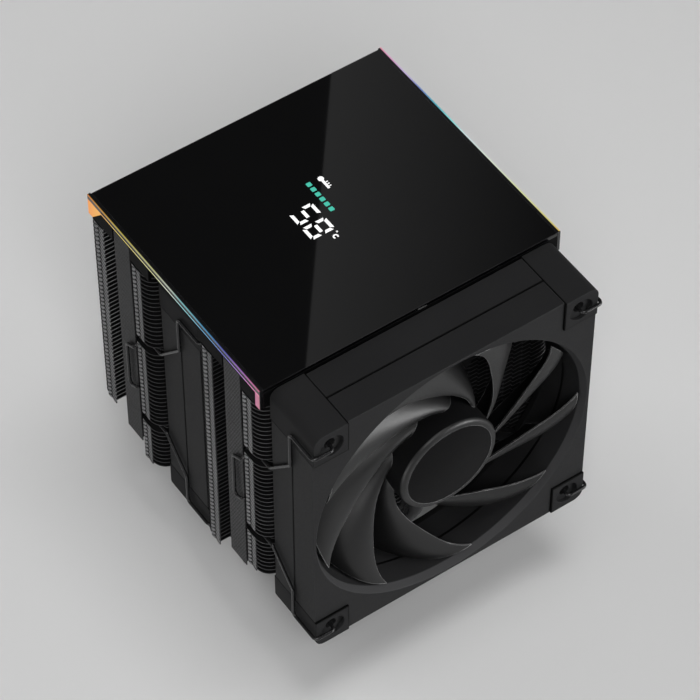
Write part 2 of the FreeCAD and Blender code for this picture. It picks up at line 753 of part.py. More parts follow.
def fan_rotor():
    end_y = back_fan_y - back_plate_thickness - hub_running_gap
    outside = axle(hub_radius, hub_face_y, end_y, 0, fan_centre_z)
    rim = [e for e in outside.Edges if e.BoundBox.YMax < hub_inner_y and e.Closed]
    hub = outside.makeFillet(hub_rim_radius, rim)
    hollow = axle(hub_radius - hub_wall, hub_inner_y, end_y + beyond, 0, fan_centre_z)
    seat = axle(cap_radius, hub_face_y - beyond, hub_face_y + cap_thickness, 0, fan_centre_z)
    boss = axle(bearing_radius, hub_inner_y, hub_inner_y + hub_boss_length, 0, fan_centre_z)
    bore = axle(shaft_radius, shaft_start_y, end_y + beyond, 0, fan_centre_z)
    blades = []
    first = blade()
    for number in range(blade_count):
        copy = first.copy()
        copy.rotate(V(0, 0, fan_centre_z), V(0, 1, 0), number * 360.0 / blade_count)
        blades.append(copy)
    hub = hub.multiFuse(blades).cut(hollow).fuse(boss)
    return hub.cut(group([seat, bore])).removeSplitter()


def hub_cap():
    return axle(cap_radius, hub_face_y, hub_face_y + cap_thickness, 0, fan_centre_z)


def ring_about_axis(inner, outer, y0, y1):
    outside = axle(outer, y0, y1, 0, fan_centre_z)
    return outside.cut(axle(inner, y0 - beyond, y1 + beyond, 0, fan_centre_z))


def magnet_ring():
    outer = hub_radius - hub_wall
    return ring_about_axis(outer - magnet_thickness, outer, magnet_start_y,
                           magnet_start_y + magnet_length)


def fan_shaft():
    groove = ring_about_axis(shaft_radius - shaft_groove_depth, shaft_radius + beyond,
                             shaft_groove_y, shaft_groove_y + shaft_groove_width)
    return axle(shaft_radius, shaft_start_y, bearing_end_y + shaft_end, 0, fan_centre_z).cut(groove)


def shaft_ring():
    """Small split washer that keeps the shaft from coming out at the front."""
    return ring_about_axis(shaft_radius - shaft_groove_depth, shaft_radius + shaft_ring_proud,
                           shaft_groove_y, shaft_groove_y + shaft_groove_width)


def bearing():
    return ring_about_axis(shaft_radius + shaft_fit, bearing_radius, bearing_end_y - bearing_length,
                           bearing_end_y)


def stator_core():
    inner = bearing_radius + tube_wall
    shape = ring_about_axis(inner, inner + core_ring, pole_start_y, pole_end_y)
    shoe_ring = ring_about_axis(pole_outer_radius - pole_shoe, pole_outer_radius, pole_start_y,
                                pole_end_y)
    arms = []
    for number in range(pole_count):
        arm = block(inner + core_ring / 2, pole_outer_radius - pole_shoe / 2, pole_start_y,
                    pole_end_y, -pole_width / 2, pole_width / 2)
        wide = block(pole_outer_radius / 2, pole_outer_radius + beyond, pole_start_y, pole_end_y,
                     -pole_shoe_width / 2, pole_shoe_width / 2)
        for piece in (arm, wide):
            piece.rotate(V(0, 0, 0), V(0, 1, 0), number * 360.0 / pole_count)
            piece.translate(V(0, 0, fan_centre_z))
        arms += [arm, shoe_ring.common(wide)]
    return shape.multiFuse(arms).removeSplitter()


def stator_coils():
    inner = bearing_radius + tube_wall + core_ring + coil_gap
    outer = pole_outer_radius - pole_shoe - coil_gap
    half = pole_width / 2
    limit = ring_about_axis(inner + coil_thickness / 2, outer, front_fan_y, back_fan_y)
    coils = []
    for number in range(pole_count):
        coil = block(inner, outer, pole_start_y - coil_thickness, pole_end_y + coil_thickness,
                     -half - coil_thickness, half + coil_thickness)
        coil = coil.cut(block(inner - beyond, outer + beyond, pole_start_y, pole_end_y, -half, half))
        coil.rotate(V(0, 0, 0), V(0, 1, 0), number * 360.0 / pole_count)
        coil.translate(V(0, 0, fan_centre_z))
        coils += coil.common(limit).Solids
    return group(coils)


def circuit_board():
    start = pole_end_y + coil_thickness + board_gap
    return ring_about_axis(bearing_radius + tube_wall, pole_outer_radius - board_rim, start,
                           start + board_thickness)


# ---- wire clips -------------------------------------------------------------------

def wire_entries():
    """Heights at which the front clips' wires enter the tower, each at the middle of a fin."""
    return [fin_middle_z(notch_index(fan_centre_z + shift))
            for shift in (wire_upper_rise, -wire_lower_drop)]


def clip_wire():
    """Right-hand wire clip of the front fan, from its upper hook to its lower hook."""
    pin_y = front_fan_y + pad_plate - pad_proud + wire_pin_reach
    top_z = fan_centre_z + hole_half - wire_hole_drop
    low_z = fan_centre_z - hole_half - wire_hole_drop
    side_y = front_fan_y - pad_proud + wire_side_y
    back_y = front_tower_y - fan_to_tower - pad_proud
    groove_y = front_tower_y + groove_mid + groove_slope * wire_groove_depth
    upper_z, lower_z = wire_entries()
    handle_top = upper_z - handle_top_drop
    handle_low = lower_z + handle_bottom_rise
    mouth_y = groove_y - groove_slope * (handle_x - wire_groove_x)
    loop_y = mouth_y + handle_reach
    points = [V(hole_half, pin_y, top_z), V(hole_half, wire_front_y, top_z),
              V(wire_side_x, wire_front_y, top_z), V(wire_side_x, side_y, top_z),
              V(wire_side_x, side_y, upper_z + wire_knee_rise), V(wire_side_x, back_y, upper_z),
              V(wire_groove_x, groove_y, upper_z),
              V(wire_groove_x, groove_y, handle_top + handle_entry),
              V(handle_x, mouth_y, handle_top), V(handle_x, loop_y, handle_top - handle_slope),
              V(handle_x, loop_y, handle_low), V(handle_x, mouth_y, handle_low + handle_slope),
              V(wire_groove_x, groove_y, handle_low + handle_entry),
              V(wire_groove_x, groove_y, lower_z), V(wire_side_x, back_y, lower_z),
              V(wire_side_x, side_y, lower_z - wire_knee_drop), V(wire_side_x, side_y, low_z),
              V(wire_side_x, wire_front_y, low_z), V(hole_half, wire_front_y, low_z),
              V(hole_half, pin_y, low_z)]
    radii = [wire_bend] * len(points)
    for number in (7, 8, 11, 12):
        radii[number] = wire_bend / 2
    return swept(rounded(points, radii), wire_radius)


# ---- display cover ----------------------------------------------------------------

def side_lengths():
    """Y ranges of the skirt's four stretches along a side: corners and narrow ribs only."""
    lengths = []
    for tower_y in (front_tower_y, rear_tower_y):
        lengths.append((tower_y, tower_y + hatch_start - body_gap))
        lengths.append((tower_y + hatch_end + body_gap, tower_y + tower_depth))
    return lengths


def guide_outline():
    """Side view of a light guide: a thin strip with a bar in front and a patch behind."""
    strip_z = ledge_top_z
    front, back = cover_front_y, cover_back_y
    return [(front, cover_top_z), (front, guide_bar_z), (front + guide_bar_width, guide_bar_z),
            (front + guide_bar_width, strip_z), (back - guide_patch_start, strip_z),
            (back - guide_patch_end, guide_bar_z), (back, guide_bar_z), (back, cover_top_z)]


def grown_guide():
    """The guide's space with its fit all round, as a cutter for the frame."""
    bar_y = cover_front_y + guide_bar_width + guide_fit
    patch_y = cover_back_y - guide_patch_start - guide_fit
    corner_y = cover_back_y - guide_patch_end - guide_fit
    low, top = guide_bar_z - beyond, cover_top_z + beyond
    points = [(cover_front_y - beyond, top), (cover_front_y - beyond, low), (bar_y, low),
              (bar_y, ledge_top_z), (patch_y, ledge_top_z), (corner_y, guide_bar_z), (corner_y, low),
              (cover_back_y + beyond, low), (cover_back_y + beyond, top)]
    return side_plate(points, half_width - guide_width - guide_fit, half_width + beyond)


def light_guide():
    shape = side_plate(guide_outline(), half_width - guide_width, half_width)
    seam_z = (cover_top_z + ledge_top_z) / 2
    seam = block(half_width - guide_seam_cut, half_width + beyond, cover_front_y + guide_bar_width,
                 cover_back_y - guide_patch_start, seam_z - guide_seam_height / 2,
                 seam_z + guide_seam_height / 2)
    return shape.cut(seam)


def led_channel_x():
    """Inner and outer side of the light strip's channel."""
    outer = half_width - guide_width - guide_fit
    return outer - led_strip_width - 2 * guide_fit, outer


def led_strip():
    """Narrow board standing beside the guide, with its small lamps facing outwards."""
    x0, x1 = led_channel_x()
    z0 = ledge_top_z
    length = cover_back_y - cover_front_y - 2 * guide_patch_start
    board = block(x0 + guide_fit, x1 - guide_fit - led_size, -length / 2, length / 2, z0,
                  z0 + led_strip_height)
    lamps = []
    for number in range(led_count):
        y = -length / 2 + (number + 0.5) * length / led_count
        lamps.append(block(x1 - guide_fit - led_size, x1 - guide_fit, y - led_length / 2,
                           y + led_length / 2, z0 + led_margin, z0 + led_strip_height - led_margin))
    return board.multiFuse(lamps).removeSplitter()


def cover_frame():
    """Thin tray over both towers, with a skirt that hooks over their corners."""
    wall = cover_wall
    front, back = cover_front_y, cover_back_y
    tray = block(-half_width, half_width, front, back, cover_plate_z, panel_bottom_z)
    walls = [block(-half_width, half_width, front, front + wall, cover_skirt_z, panel_bottom_z),
             block(-half_width, half_width, back - wall, back, cover_skirt_z, panel_bottom_z)]
    for y0, y1 in side_lengths():
        for sx in (-1, 1):
            x0, x1 = sorted((sx * skirt_inner_x, sx * half_width))
            walls.append(block(x0, x1, y0, y1, cover_skirt_z, cover_plate_z))
    shape = tray.multiFuse(walls)
    cuts = []
    for tower_y in (front_tower_y, rear_tower_y):
        for leg in pipe_legs(tower_y):
            cuts.append(upright(pipe_radius + 2 * body_gap, cover_skirt_z, cover_top_z, leg.x, leg.y))
    channel = led_channel_x()
    trench = block(channel[0], channel[1] + guide_fit, front + wall, back - wall, ledge_top_z,
                   cover_top_z)
    for piece in (grown_guide(), trench):
        cuts += [piece, mirrored(piece)]
    cuts.append(block(-window_size[0] / 2, window_size[0] / 2, -window_size[1] / 2,
                      window_size[1] / 2, cover_skirt_z, cover_top_z))
    for x, y in magnet_centres():
        cuts.append(upright(magnet_disc_radius + guide_fit, cover_skirt_z,
                            cover_plate_z + magnet_disc_height, x, y))
    for x, y in board_screw_centres():
        cuts.append(upright(board_screw_radius, cover_skirt_z, panel_bottom_z - board_hole_floor, x, y))
    return shape.cut(group(cuts)).removeSplitter()


def magnet_centres():
    return [(sx * magnet_place[0], sy * magnet_place[1]) for sx in (-1, 1) for sy in (-1, 1)]


def cover_magnets():
    return group([upright(magnet_disc_radius, cover_plate_z, cover_plate_z + magnet_disc_height, x, y)
                  for x, y in magnet_centres()])


def cover_panel():
    half_x = half_width - guide_width - guide_fit
    panel = block(-half_x, half_x, cover_front_y, cover_back_y, panel_bottom_z, cover_top_z)
    rim = [e for e in panel.Edges if e.BoundBox.ZMin > cover_top_z - panel_chamfer]
    return panel.makeChamfer(panel_chamfer, rim)


def display_board():
    half_x, half_y = display_board_size[0] / 2, display_board_size[1] / 2
    board = block(-half_x, half_x, -half_y, half_y, board_under_z, cover_plate_z)
    holes = [upright(board_screw_radius + pipe_fit, 0, cover_top_z, x, y)
             for x, y in board_screw_centres()]
    return board.cut(group(holes))


def display_module():
    half_x, half_y = display_size[0] / 2, display_size[1] / 2
    return block(-half_x, half_x, -half_y, half_y, cover_plate_z, panel_bottom_z - display_gap)


def board_screw_centres():
    return [(sx * board_screw_x, sy * board_screw_y) for sx in (-1, 1) for sy in (-1, 1)]


def board_screws():
    screws = []
    tip_z = panel_bottom_z - board_hole_floor - board_screw_end_gap
    for x, y in board_screw_centres():
        shank = upright(board_screw_radius, board_under_z, tip_z, x, y)
        head = upright(board_screw_head, board_under_z - board_screw_head_height, board_under_z, x, y)
        screws.append(head.fuse(shank))
    return group(screws)


def cable_socket():
    """Pin header's shroud under the display board, open to the back."""
    sx, sy, sz = socket_size
    top = board_under_z
    y0 = display_board_size[1] / 2 - sy
    shell = block(socket_x, socket_x + sx, y0, y0 + sy, top - sz, top)
    hollow = block(socket_x + socket_wall, socket_x + sx - socket_wall, y0 + socket_wall,
                   y0 + sy + beyond, top - sz + socket_wall, top - socket_wall)
    return shell.cut(hollow)


def build_heatsink():
    entries = wire_entries()
    save("front_tower_fins", tower(front_tower_y, [notch_index(z) for z in entries]))
    save("rear_tower_fins", tower(rear_tower_y, [notch_index(z - middle_fan_drop) for z in entries]))
    for number in range(pipe_count):
        save("heat_pipe_" + str(number + 1), heat_pipe(number))
    save("base_plate", base_plate())
    save("base_top", base_top())
    save("mount_crossbar", mount_crossbar())
    save("crossbar_screws", crossbar_screws())
    for name, shape in (("mounting_screw", mounting_screw()), ("screw_ring", screw_ring()),
                        ("mounting_spring", mounting_spring())):
        save("right_" + name, shape)
        save("left_" + name, mirrored(shape))


def build_fans():
    pieces = {"fan_frame": fan_frame(), "fan_pads": fan_pads(), "fan_rotor": fan_rotor(),
              "hub_cap": hub_cap(), "magnet_ring": magnet_ring(), "fan_shaft": fan_shaft(),
              "shaft_ring": shaft_ring(), "bearing": bearing(), "stator_core": stator_core(),
              "stator_coils": stator_coils(), "circuit_board": circuit_board()}
    clip = clip_wire()
    pieces["right_clip"] = clip
    pieces["left_clip"] = mirrored(clip)
    step = V(0, fan_step_y, -middle_fan_drop)
    for name, shape in pieces.items():
        save("front_" + name, shape)
        save("middle_" + name, shape.translated(step))


def build_cover():
    save("cover_frame", cover_frame())
    save("cover_panel", cover_panel())
    for name, shape in (("light_guide", light_guide()), ("led_strip", led_strip())):
        save("right_" + name, shape)
        save("left_" + name, mirrored(shape))
    save("display_board", display_board())
    save("display_module", display_module())
    save("cover_magnets", cover_magnets())
    save("board_screws", board_screws())
    save("cable_socket", cable_socket())


build_heatsink()
build_fans()
build_cover()
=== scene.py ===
import json
from math import cos, pi, radians, sin

import bmesh
import bpy
from mathutils import Matrix, Vector

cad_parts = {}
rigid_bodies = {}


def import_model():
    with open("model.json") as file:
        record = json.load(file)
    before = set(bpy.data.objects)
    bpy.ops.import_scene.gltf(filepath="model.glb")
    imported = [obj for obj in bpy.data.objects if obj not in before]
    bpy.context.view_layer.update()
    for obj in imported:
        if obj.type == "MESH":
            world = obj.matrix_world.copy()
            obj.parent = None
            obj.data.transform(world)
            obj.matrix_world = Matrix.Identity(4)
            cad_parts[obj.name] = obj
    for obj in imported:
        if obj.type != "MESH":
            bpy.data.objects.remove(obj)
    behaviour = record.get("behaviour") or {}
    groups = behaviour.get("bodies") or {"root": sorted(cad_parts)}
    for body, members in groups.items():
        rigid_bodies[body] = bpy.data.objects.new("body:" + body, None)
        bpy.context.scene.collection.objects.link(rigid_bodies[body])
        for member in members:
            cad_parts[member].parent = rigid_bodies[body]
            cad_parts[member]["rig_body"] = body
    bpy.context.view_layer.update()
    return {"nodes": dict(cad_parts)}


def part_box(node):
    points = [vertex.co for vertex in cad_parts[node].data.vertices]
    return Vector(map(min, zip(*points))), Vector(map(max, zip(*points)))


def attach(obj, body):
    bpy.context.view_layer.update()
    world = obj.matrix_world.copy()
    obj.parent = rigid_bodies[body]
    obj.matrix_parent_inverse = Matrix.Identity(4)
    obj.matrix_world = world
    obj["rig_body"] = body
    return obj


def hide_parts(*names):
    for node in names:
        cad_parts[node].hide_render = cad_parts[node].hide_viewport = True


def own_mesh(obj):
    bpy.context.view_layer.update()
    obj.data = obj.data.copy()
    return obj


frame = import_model()
nodes = frame["nodes"]

fans = {"front": "front_rotor", "middle": "middle_rotor"}  # each fan and the body that its rotor turns with
towers = ("front", "rear")
sides = ("left", "right")


def addObject(name, data):
    thing = bpy.data.objects.new(name, data)
    bpy.context.scene.collection.objects.link(thing)
    return thing


cameraView = {"aim": (-0.00053, -0.01754, 0.10376), "azimuth": -34.804, "elevation": 50.537,
              "distance": 1.26817, "lens": 180.23, "sensor": 36.0, "near": 0.05, "far": 50}


def placeCamera(view):
    data = bpy.data.cameras.new("studioCamera")
    data.lens, data.sensor_width = view["lens"], view["sensor"]
    data.clip_start, data.clip_end = view["near"], view["far"]
    camera = addObject("studioCamera", data)
    around, above = radians(view["azimuth"]), radians(view["elevation"])
    back = Vector((sin(around) * cos(above), -cos(around) * cos(above), sin(above)))
    camera.location = Vector(view["aim"]) + back * view["distance"]
    camera.rotation_euler = back.to_track_quat("Z", "Y").to_euler()
    bpy.context.scene.camera = camera


placeCamera(cameraView)
bpy.context.scene.view_settings.view_transform = "Standard"

lampAim = Vector((0, 0, 0.09))
lamps = {
    "keyLamp": {"place": (-0.80, -1.45, 1.80), "size": 0.8, "power": 24},
    "leftLamp": {"place": (-1.80, -0.45, 0.60), "size": 0.7, "power": 1.2},
    # the two low lamps give the blades their sheen and lift the lower fins
    "lowLamp": {"place": (0.62, -0.74, 0.26), "size": 0.44, "power": 9.5, "spares": True},
    "sideLamp": {"place": (-0.30, -0.20, 0.02), "size": 0.16, "power": 0.55, "spares": True},
    "rightLamp": {"place": (1.70, -0.75, 1.20), "size": 0.9, "power": 5},
    "rearLamp": {"place": (-0.75, 1.65, 1.25), "size": 0.9, "power": 11},
    "topLamp": {"place": (0.10, -0.25, 2.10), "size": 0.8, "power": 16},
}
spared = bpy.data.collections.new("spared")  # the floor and the gloss panel: both low lamps leave them alone


def addLamp(name, place, size, power, spares=False):
    data = bpy.data.lights.new(name, "AREA")
    data.shape, data.size, data.energy = "SQUARE", size, power
    lamp = addObject(name, data)
    lamp.location = place
    lamp.rotation_euler = (Vector(place) - lampAim).to_track_quat("Z", "Y").to_euler()
    lamp.visible_camera = False
    if spares:
        lamp.light_linking.receiver_collection = spared


def spare(thing):
    spared.objects.link(thing)
    spared.collection_objects[-1].light_linking.link_state = "EXCLUDE"


for lampName, lamp in lamps.items():
    addLamp(lampName, **lamp)


def link(tree, start, end):
    tree.links.new(start, end)


def setInputs(node, values):
    # a number or a tuple is written into the socket; anything else is a socket that is joined to it
    for key, value in values.items():
        if isinstance(value, (int, float, tuple)):
            node.inputs[key].default_value = value
        else:
            link(node.id_data, value, node.inputs[key])
    return node


def addNode(tree, kind, operation=None, **values):
    node = tree.nodes.new("ShaderNode" + kind)
    if operation:
        node.operation = operation
    return setInputs(node, values)


def objectPlace(tree):
    return addNode(tree, "TexCoord").outputs["Object"]


def surfaceNormal(tree):
    return addNode(tree, "NewGeometry").outputs["Normal"]


def splitParts(tree, vector):
    return setInputs(addNode(tree, "SeparateXYZ"), {0: vector}).outputs


def mathNode(tree, operation, *values, clamp=False):
    node = addNode(tree, "Math", operation)
    node.use_clamp = clamp
    return setInputs(node, dict(enumerate(values))).outputs[0]


def vectorNode(tree, operation, *values):
    return setInputs(addNode(tree, "VectorMath", operation), dict(enumerate(values))).outputs


def multiply(tree, first, *others, clamp=False):
    for other in others:
        first = mathNode(tree, "MULTIPLY", first, other, clamp=clamp)
    return first


def oneMinus(tree, value):
    return mathNode(tree, "SUBTRACT", 1.0, value)


def distanceFrom(tree, value, middle):
    return mathNode(tree, "ABSOLUTE", mathNode(tree, "SUBTRACT", value, middle))


def betweenValues(tree, value, low, high):
    over = mathNode(tree, "GREATER_THAN", value, low)
    return multiply(tree, over, mathNode(tree, "LESS_THAN", value, high))


def mixColour(tree, factor, first, second):
    node = addNode(tree, "Mix")
    node.data_type = "RGBA"
    first, second = ((*value, 1) if isinstance(value, tuple) else value for value in (first, second))
    return setInputs(node, {0: factor, 6: first, 7: second}).outputs[2]


def mixShader(tree, factor, first, second):
    return setInputs(addNode(tree, "MixShader"), {0: factor, 1: first.outputs[0], 2: second.outputs[0]})


def rangeNode(tree, value, low, high, toLow=0.0, toHigh=1.0, smooth=False):
    node = addNode(tree, "MapRange")
    node.interpolation_type = "SMOOTHSTEP" if smooth else "LINEAR"
    return setInputs(node, dict(enumerate((value, low, high, toLow, toHigh)))).outputs[0]


def noiseNode(tree, vector, scale, detail=2.0, roughness=0.5):
    node = addNode(tree, "TexNoise", Vector=vector, Scale=scale, Detail=detail, Roughness=roughness)
    return node.outputs["Fac"]


def bumpNode(tree, height, distance):
    return addNode(tree, "Bump", Height=height, Distance=distance).outputs[0]


def newGroup(name, inputs, *outputs):
    # each input with its first value; a mask is a number and a normal is a vector
    tree = bpy.data.node_groups.new(name, "ShaderNodeTree")
    for label, value in inputs.items():
        kind = "NodeSocketVector" if isinstance(value, tuple) else "NodeSocketFloat"
        tree.interface.new_socket(name=label, in_out="INPUT", socket_type=kind).default_value = value
    for label in outputs:
        kind = "NodeSocketVector" if label == "Normal" else "NodeSocketFloat"
        tree.interface.new_socket(name=label, in_out="OUTPUT", socket_type=kind)
    return tree, tree.nodes.new("NodeGroupInput").outputs, tree.nodes.new("NodeGroupOutput").inputs


def useGroup(tree, group, **values):
    node = addNode(tree, "Group")
    node.node_tree = group
    return setInputs(node, values).outputs


edgeLook = {"samples": 4, "flat": 0.995, "sharp": 0.86, "cloud": (4.0, 0.6),
            "patch": (0.35, 0.65, 0.35, 1.0)}


def edgeWearAndGlintGroup():
    # an edge is where the softened normal leaves the true one; it is worn in patches, and on the blades and
    # the fan frames the same mask carries a painted highlight
    tree, given, result = newGroup("edgeWearAndGlint", {"Radius": 0.0004, "Patch": 160.0, "Amount": 0.5}, "Mask")
    soft = addNode(tree, "Bevel", Radius=given["Radius"])
    soft.samples = edgeLook["samples"]
    turn = vectorNode(tree, "DOT_PRODUCT", soft.outputs[0], surfaceNormal(tree))["Value"]
    edge = rangeNode(tree, turn, edgeLook["flat"], edgeLook["sharp"])
    cloud = noiseNode(tree, objectPlace(tree), given["Patch"], *edgeLook["cloud"])
    patch = rangeNode(tree, cloud, *edgeLook["patch"])
    link(tree, multiply(tree, edge, patch, given["Amount"], clamp=True), result["Mask"])
    return tree


grainLook = {"detail": 3.0, "roughness": 0.6}


def grainGroup():
    tree, given, result = newGroup("mouldGrain", {"Size": 0.0005, "Depth": 0.00002}, "Mask", "Normal")
    scale = mathNode(tree, "DIVIDE", 1.0, given["Size"])
    fine = noiseNode(tree, objectPlace(tree), scale, **grainLook)
    link(tree, fine, result["Mask"])
    link(tree, bumpNode(tree, fine, given["Depth"]), result["Normal"])
    return tree


dustLook = {"up": (0.3, 1.0, 0.15, 1.0), "cloud": (34.0, 5.0, 0.62), "cloudRange": (0.42, 0.72),
            "speck": (2400.0, 1.0, 0.5), "speckRange": (0.60, 0.72, 0.25, 1.0)}


def dustGroup():
    # dust lies on what faces up, in clouds of specks
    tree, given, result = newGroup("fineDust", {"Amount": 0.1}, "Mask")
    place = objectPlace(tree)
    lying = rangeNode(tree, splitParts(tree, surfaceNormal(tree))["Z"], *dustLook["up"], smooth=True)
    cloud = rangeNode(tree, noiseNode(tree, place, *dustLook["cloud"]), *dustLook["cloudRange"])
    speck = rangeNode(tree, noiseNode(tree, place, *dustLook["speck"]), *dustLook["speckRange"])
    link(tree, multiply(tree, lying, cloud, speck, given["Amount"], clamp=True), result["Mask"])
    return tree


def brushGroup():
    # noise drawn out along one direction
    inputs = {"Along": (1.0, 1.0, 1.0), "Size": 0.0003, "Depth": 0.00001}
    tree, given, result = newGroup("brushLines", inputs, "Mask", "Normal")
    stretched = vectorNode(tree, "MULTIPLY", objectPlace(tree), given["Along"])[0]
    lines = noiseNode(tree, stretched, mathNode(tree, "DIVIDE", 1.0, given["Size"]))
    link(tree, lines, result["Mask"])
    link(tree, bumpNode(tree, lines, given["Depth"]), result["Normal"])
    return tree


def seamShadeGroup():
    # painted shade in a joint: where the distance from the middle, along one axis, lies between two values
    inputs = dict.fromkeys(("AlongX", "AlongY", "AlongZ", "Middle", "Low", "High"), 0.0)
    tree, given, result = newGroup("seamPaintedShade", inputs, "Mask")
    parts = splitParts(tree, objectPlace(tree))
    along = multiply(tree, parts["X"], given["AlongX"])
    along = mathNode(tree, "MULTIPLY_ADD", parts["Y"], given["AlongY"], along)
    along = mathNode(tree, "MULTIPLY_ADD", parts["Z"], given["AlongZ"], along)
    away = distanceFrom(tree, along, given["Middle"])
    link(tree, betweenValues(tree, away, given["Low"], given["High"]), result["Mask"])
    return tree


def lipGroup():
    # a painted highlight on the rounded lip of a duct: a ring about the fan's axis, at the front of the frame
    inputs = dict.fromkeys(("Middle", "Inner", "Outer", "Front"), 0.0)
    tree, given, result = newGroup("lipShade", inputs, "Mask")
    parts = splitParts(tree, objectPlace(tree))
    up = mathNode(tree, "SUBTRACT", parts["Z"], given["Middle"])
    square = mathNode(tree, "MULTIPLY_ADD", up, up, multiply(tree, parts["X"], parts["X"]))
    inRing = betweenValues(tree, mathNode(tree, "SQRT", square), given["Inner"], given["Outer"])
    inFront = mathNode(tree, "LESS_THAN", parts["Y"], given["Front"])
    link(tree, multiply(tree, inRing, inFront), result["Mask"])
    return tree


edgeWearAndGlint, mouldGrain, fineDust, brushLines = edgeWearAndGlintGroup(), grainGroup(), dustGroup(), brushGroup()
seamPaintedShade, lipShade = seamShadeGroup(), lipGroup()


def startMaterial(name):
    material = bpy.data.materials.new(name)
    material.use_nodes = True
    tree = material.node_tree
    tree.nodes.clear()
    surface = addNode(tree, "BsdfPrincipled")
    link(tree, surface.outputs[0], addNode(tree, "OutputMaterial").inputs[0])
    return material, tree, surface


def tinted(colour, share, added=0.0):
    return tuple(min(1, c * share + added) for c in colour)


plain = {"cloud": (3.0, 0.55), "middling": (0.3, 0.7), "second": 1.25, "grain": (0.3, 0.7, 0.0, 0.35),
         # lip is the colour of a painted highlight on a duct's lip
         "grainShade": 0.7, "wornAndGlint": (2.2, 0.02), "dust": (0.32, 0.31, 0.29), "lip": (0.030, 0.030, 0.031),
         # seam is the colour of painted shade in a joint
         "seam": (0.0004, 0.0004, 0.0004), "roughRange": (0.25, 0.75), "dustRough": 0.5, "edgeSmooth": 0.12}


def plainFinish(name, colour, second=None, wornAndGlint=None, roughness=0.5, roughSpread=0.08, metallic=0.0,
                specular=0.5, patch=60.0, grainSize=0.0005, grainDepth=0.00001, edgeRadius=0.0003,
                wearAndGlint=0.4, dust=0.05, coat=0.0, coatRoughness=0.1, brush=None, seamShades=(), lip=None):
    # a colour with slow clouds in it, fine grain or brushed lines, lighter edges and a trace of dust; the
    # lighter edges are wear, and on the blades and the fan frames a painted highlight
    material, tree, surface = startMaterial(name)
    cloud = rangeNode(tree, noiseNode(tree, objectPlace(tree), patch, *plain["cloud"]), *plain["middling"])
    if brush:
        texture = useGroup(tree, brushLines, Along=brush, Size=grainSize, Depth=grainDepth)
    else:
        texture = useGroup(tree, mouldGrain, Size=grainSize, Depth=grainDepth)
    grain = rangeNode(tree, texture["Mask"], *plain["grain"])
    edge = useGroup(tree, edgeWearAndGlint, Radius=edgeRadius, Amount=wearAndGlint)["Mask"]
    lying = useGroup(tree, fineDust, Amount=dust)["Mask"]
    tone = mixColour(tree, cloud, colour, second or tinted(colour, plain["second"]))
    tone = mixColour(tree, grain, tone, tinted(colour, plain["grainShade"]))
    tone = mixColour(tree, edge, tone, wornAndGlint or tinted(colour, *plain["wornAndGlint"]))
    tone = mixColour(tree, lying, tone, plain["dust"])
    # a painted highlight on the duct's lip
    if lip:
        tone = mixColour(tree, useGroup(tree, lipShade, **lip)["Mask"], tone, plain["lip"])
    # painted shade along the joints
    for seam in seamShades:
        tone = mixColour(tree, useGroup(tree, seamPaintedShade, **seam)["Mask"], tone, plain["seam"])
    spread = (roughness - roughSpread, roughness + roughSpread)
    rough = rangeNode(tree, texture["Mask"], *plain["roughRange"], *spread)
    rough = mathNode(tree, "ADD", rough, multiply(tree, lying, plain["dustRough"]), clamp=True)
    rough = mathNode(tree, "SUBTRACT", rough, multiply(tree, edge, plain["edgeSmooth"]), clamp=True)
    setInputs(surface, {"Base Color": tone, "Roughness": rough, "Normal": texture["Normal"],
                        "Metallic": metallic, "Specular IOR Level": specular, "Coat Weight": coat,
                        "Coat Roughness": coatRoughness})
    return material


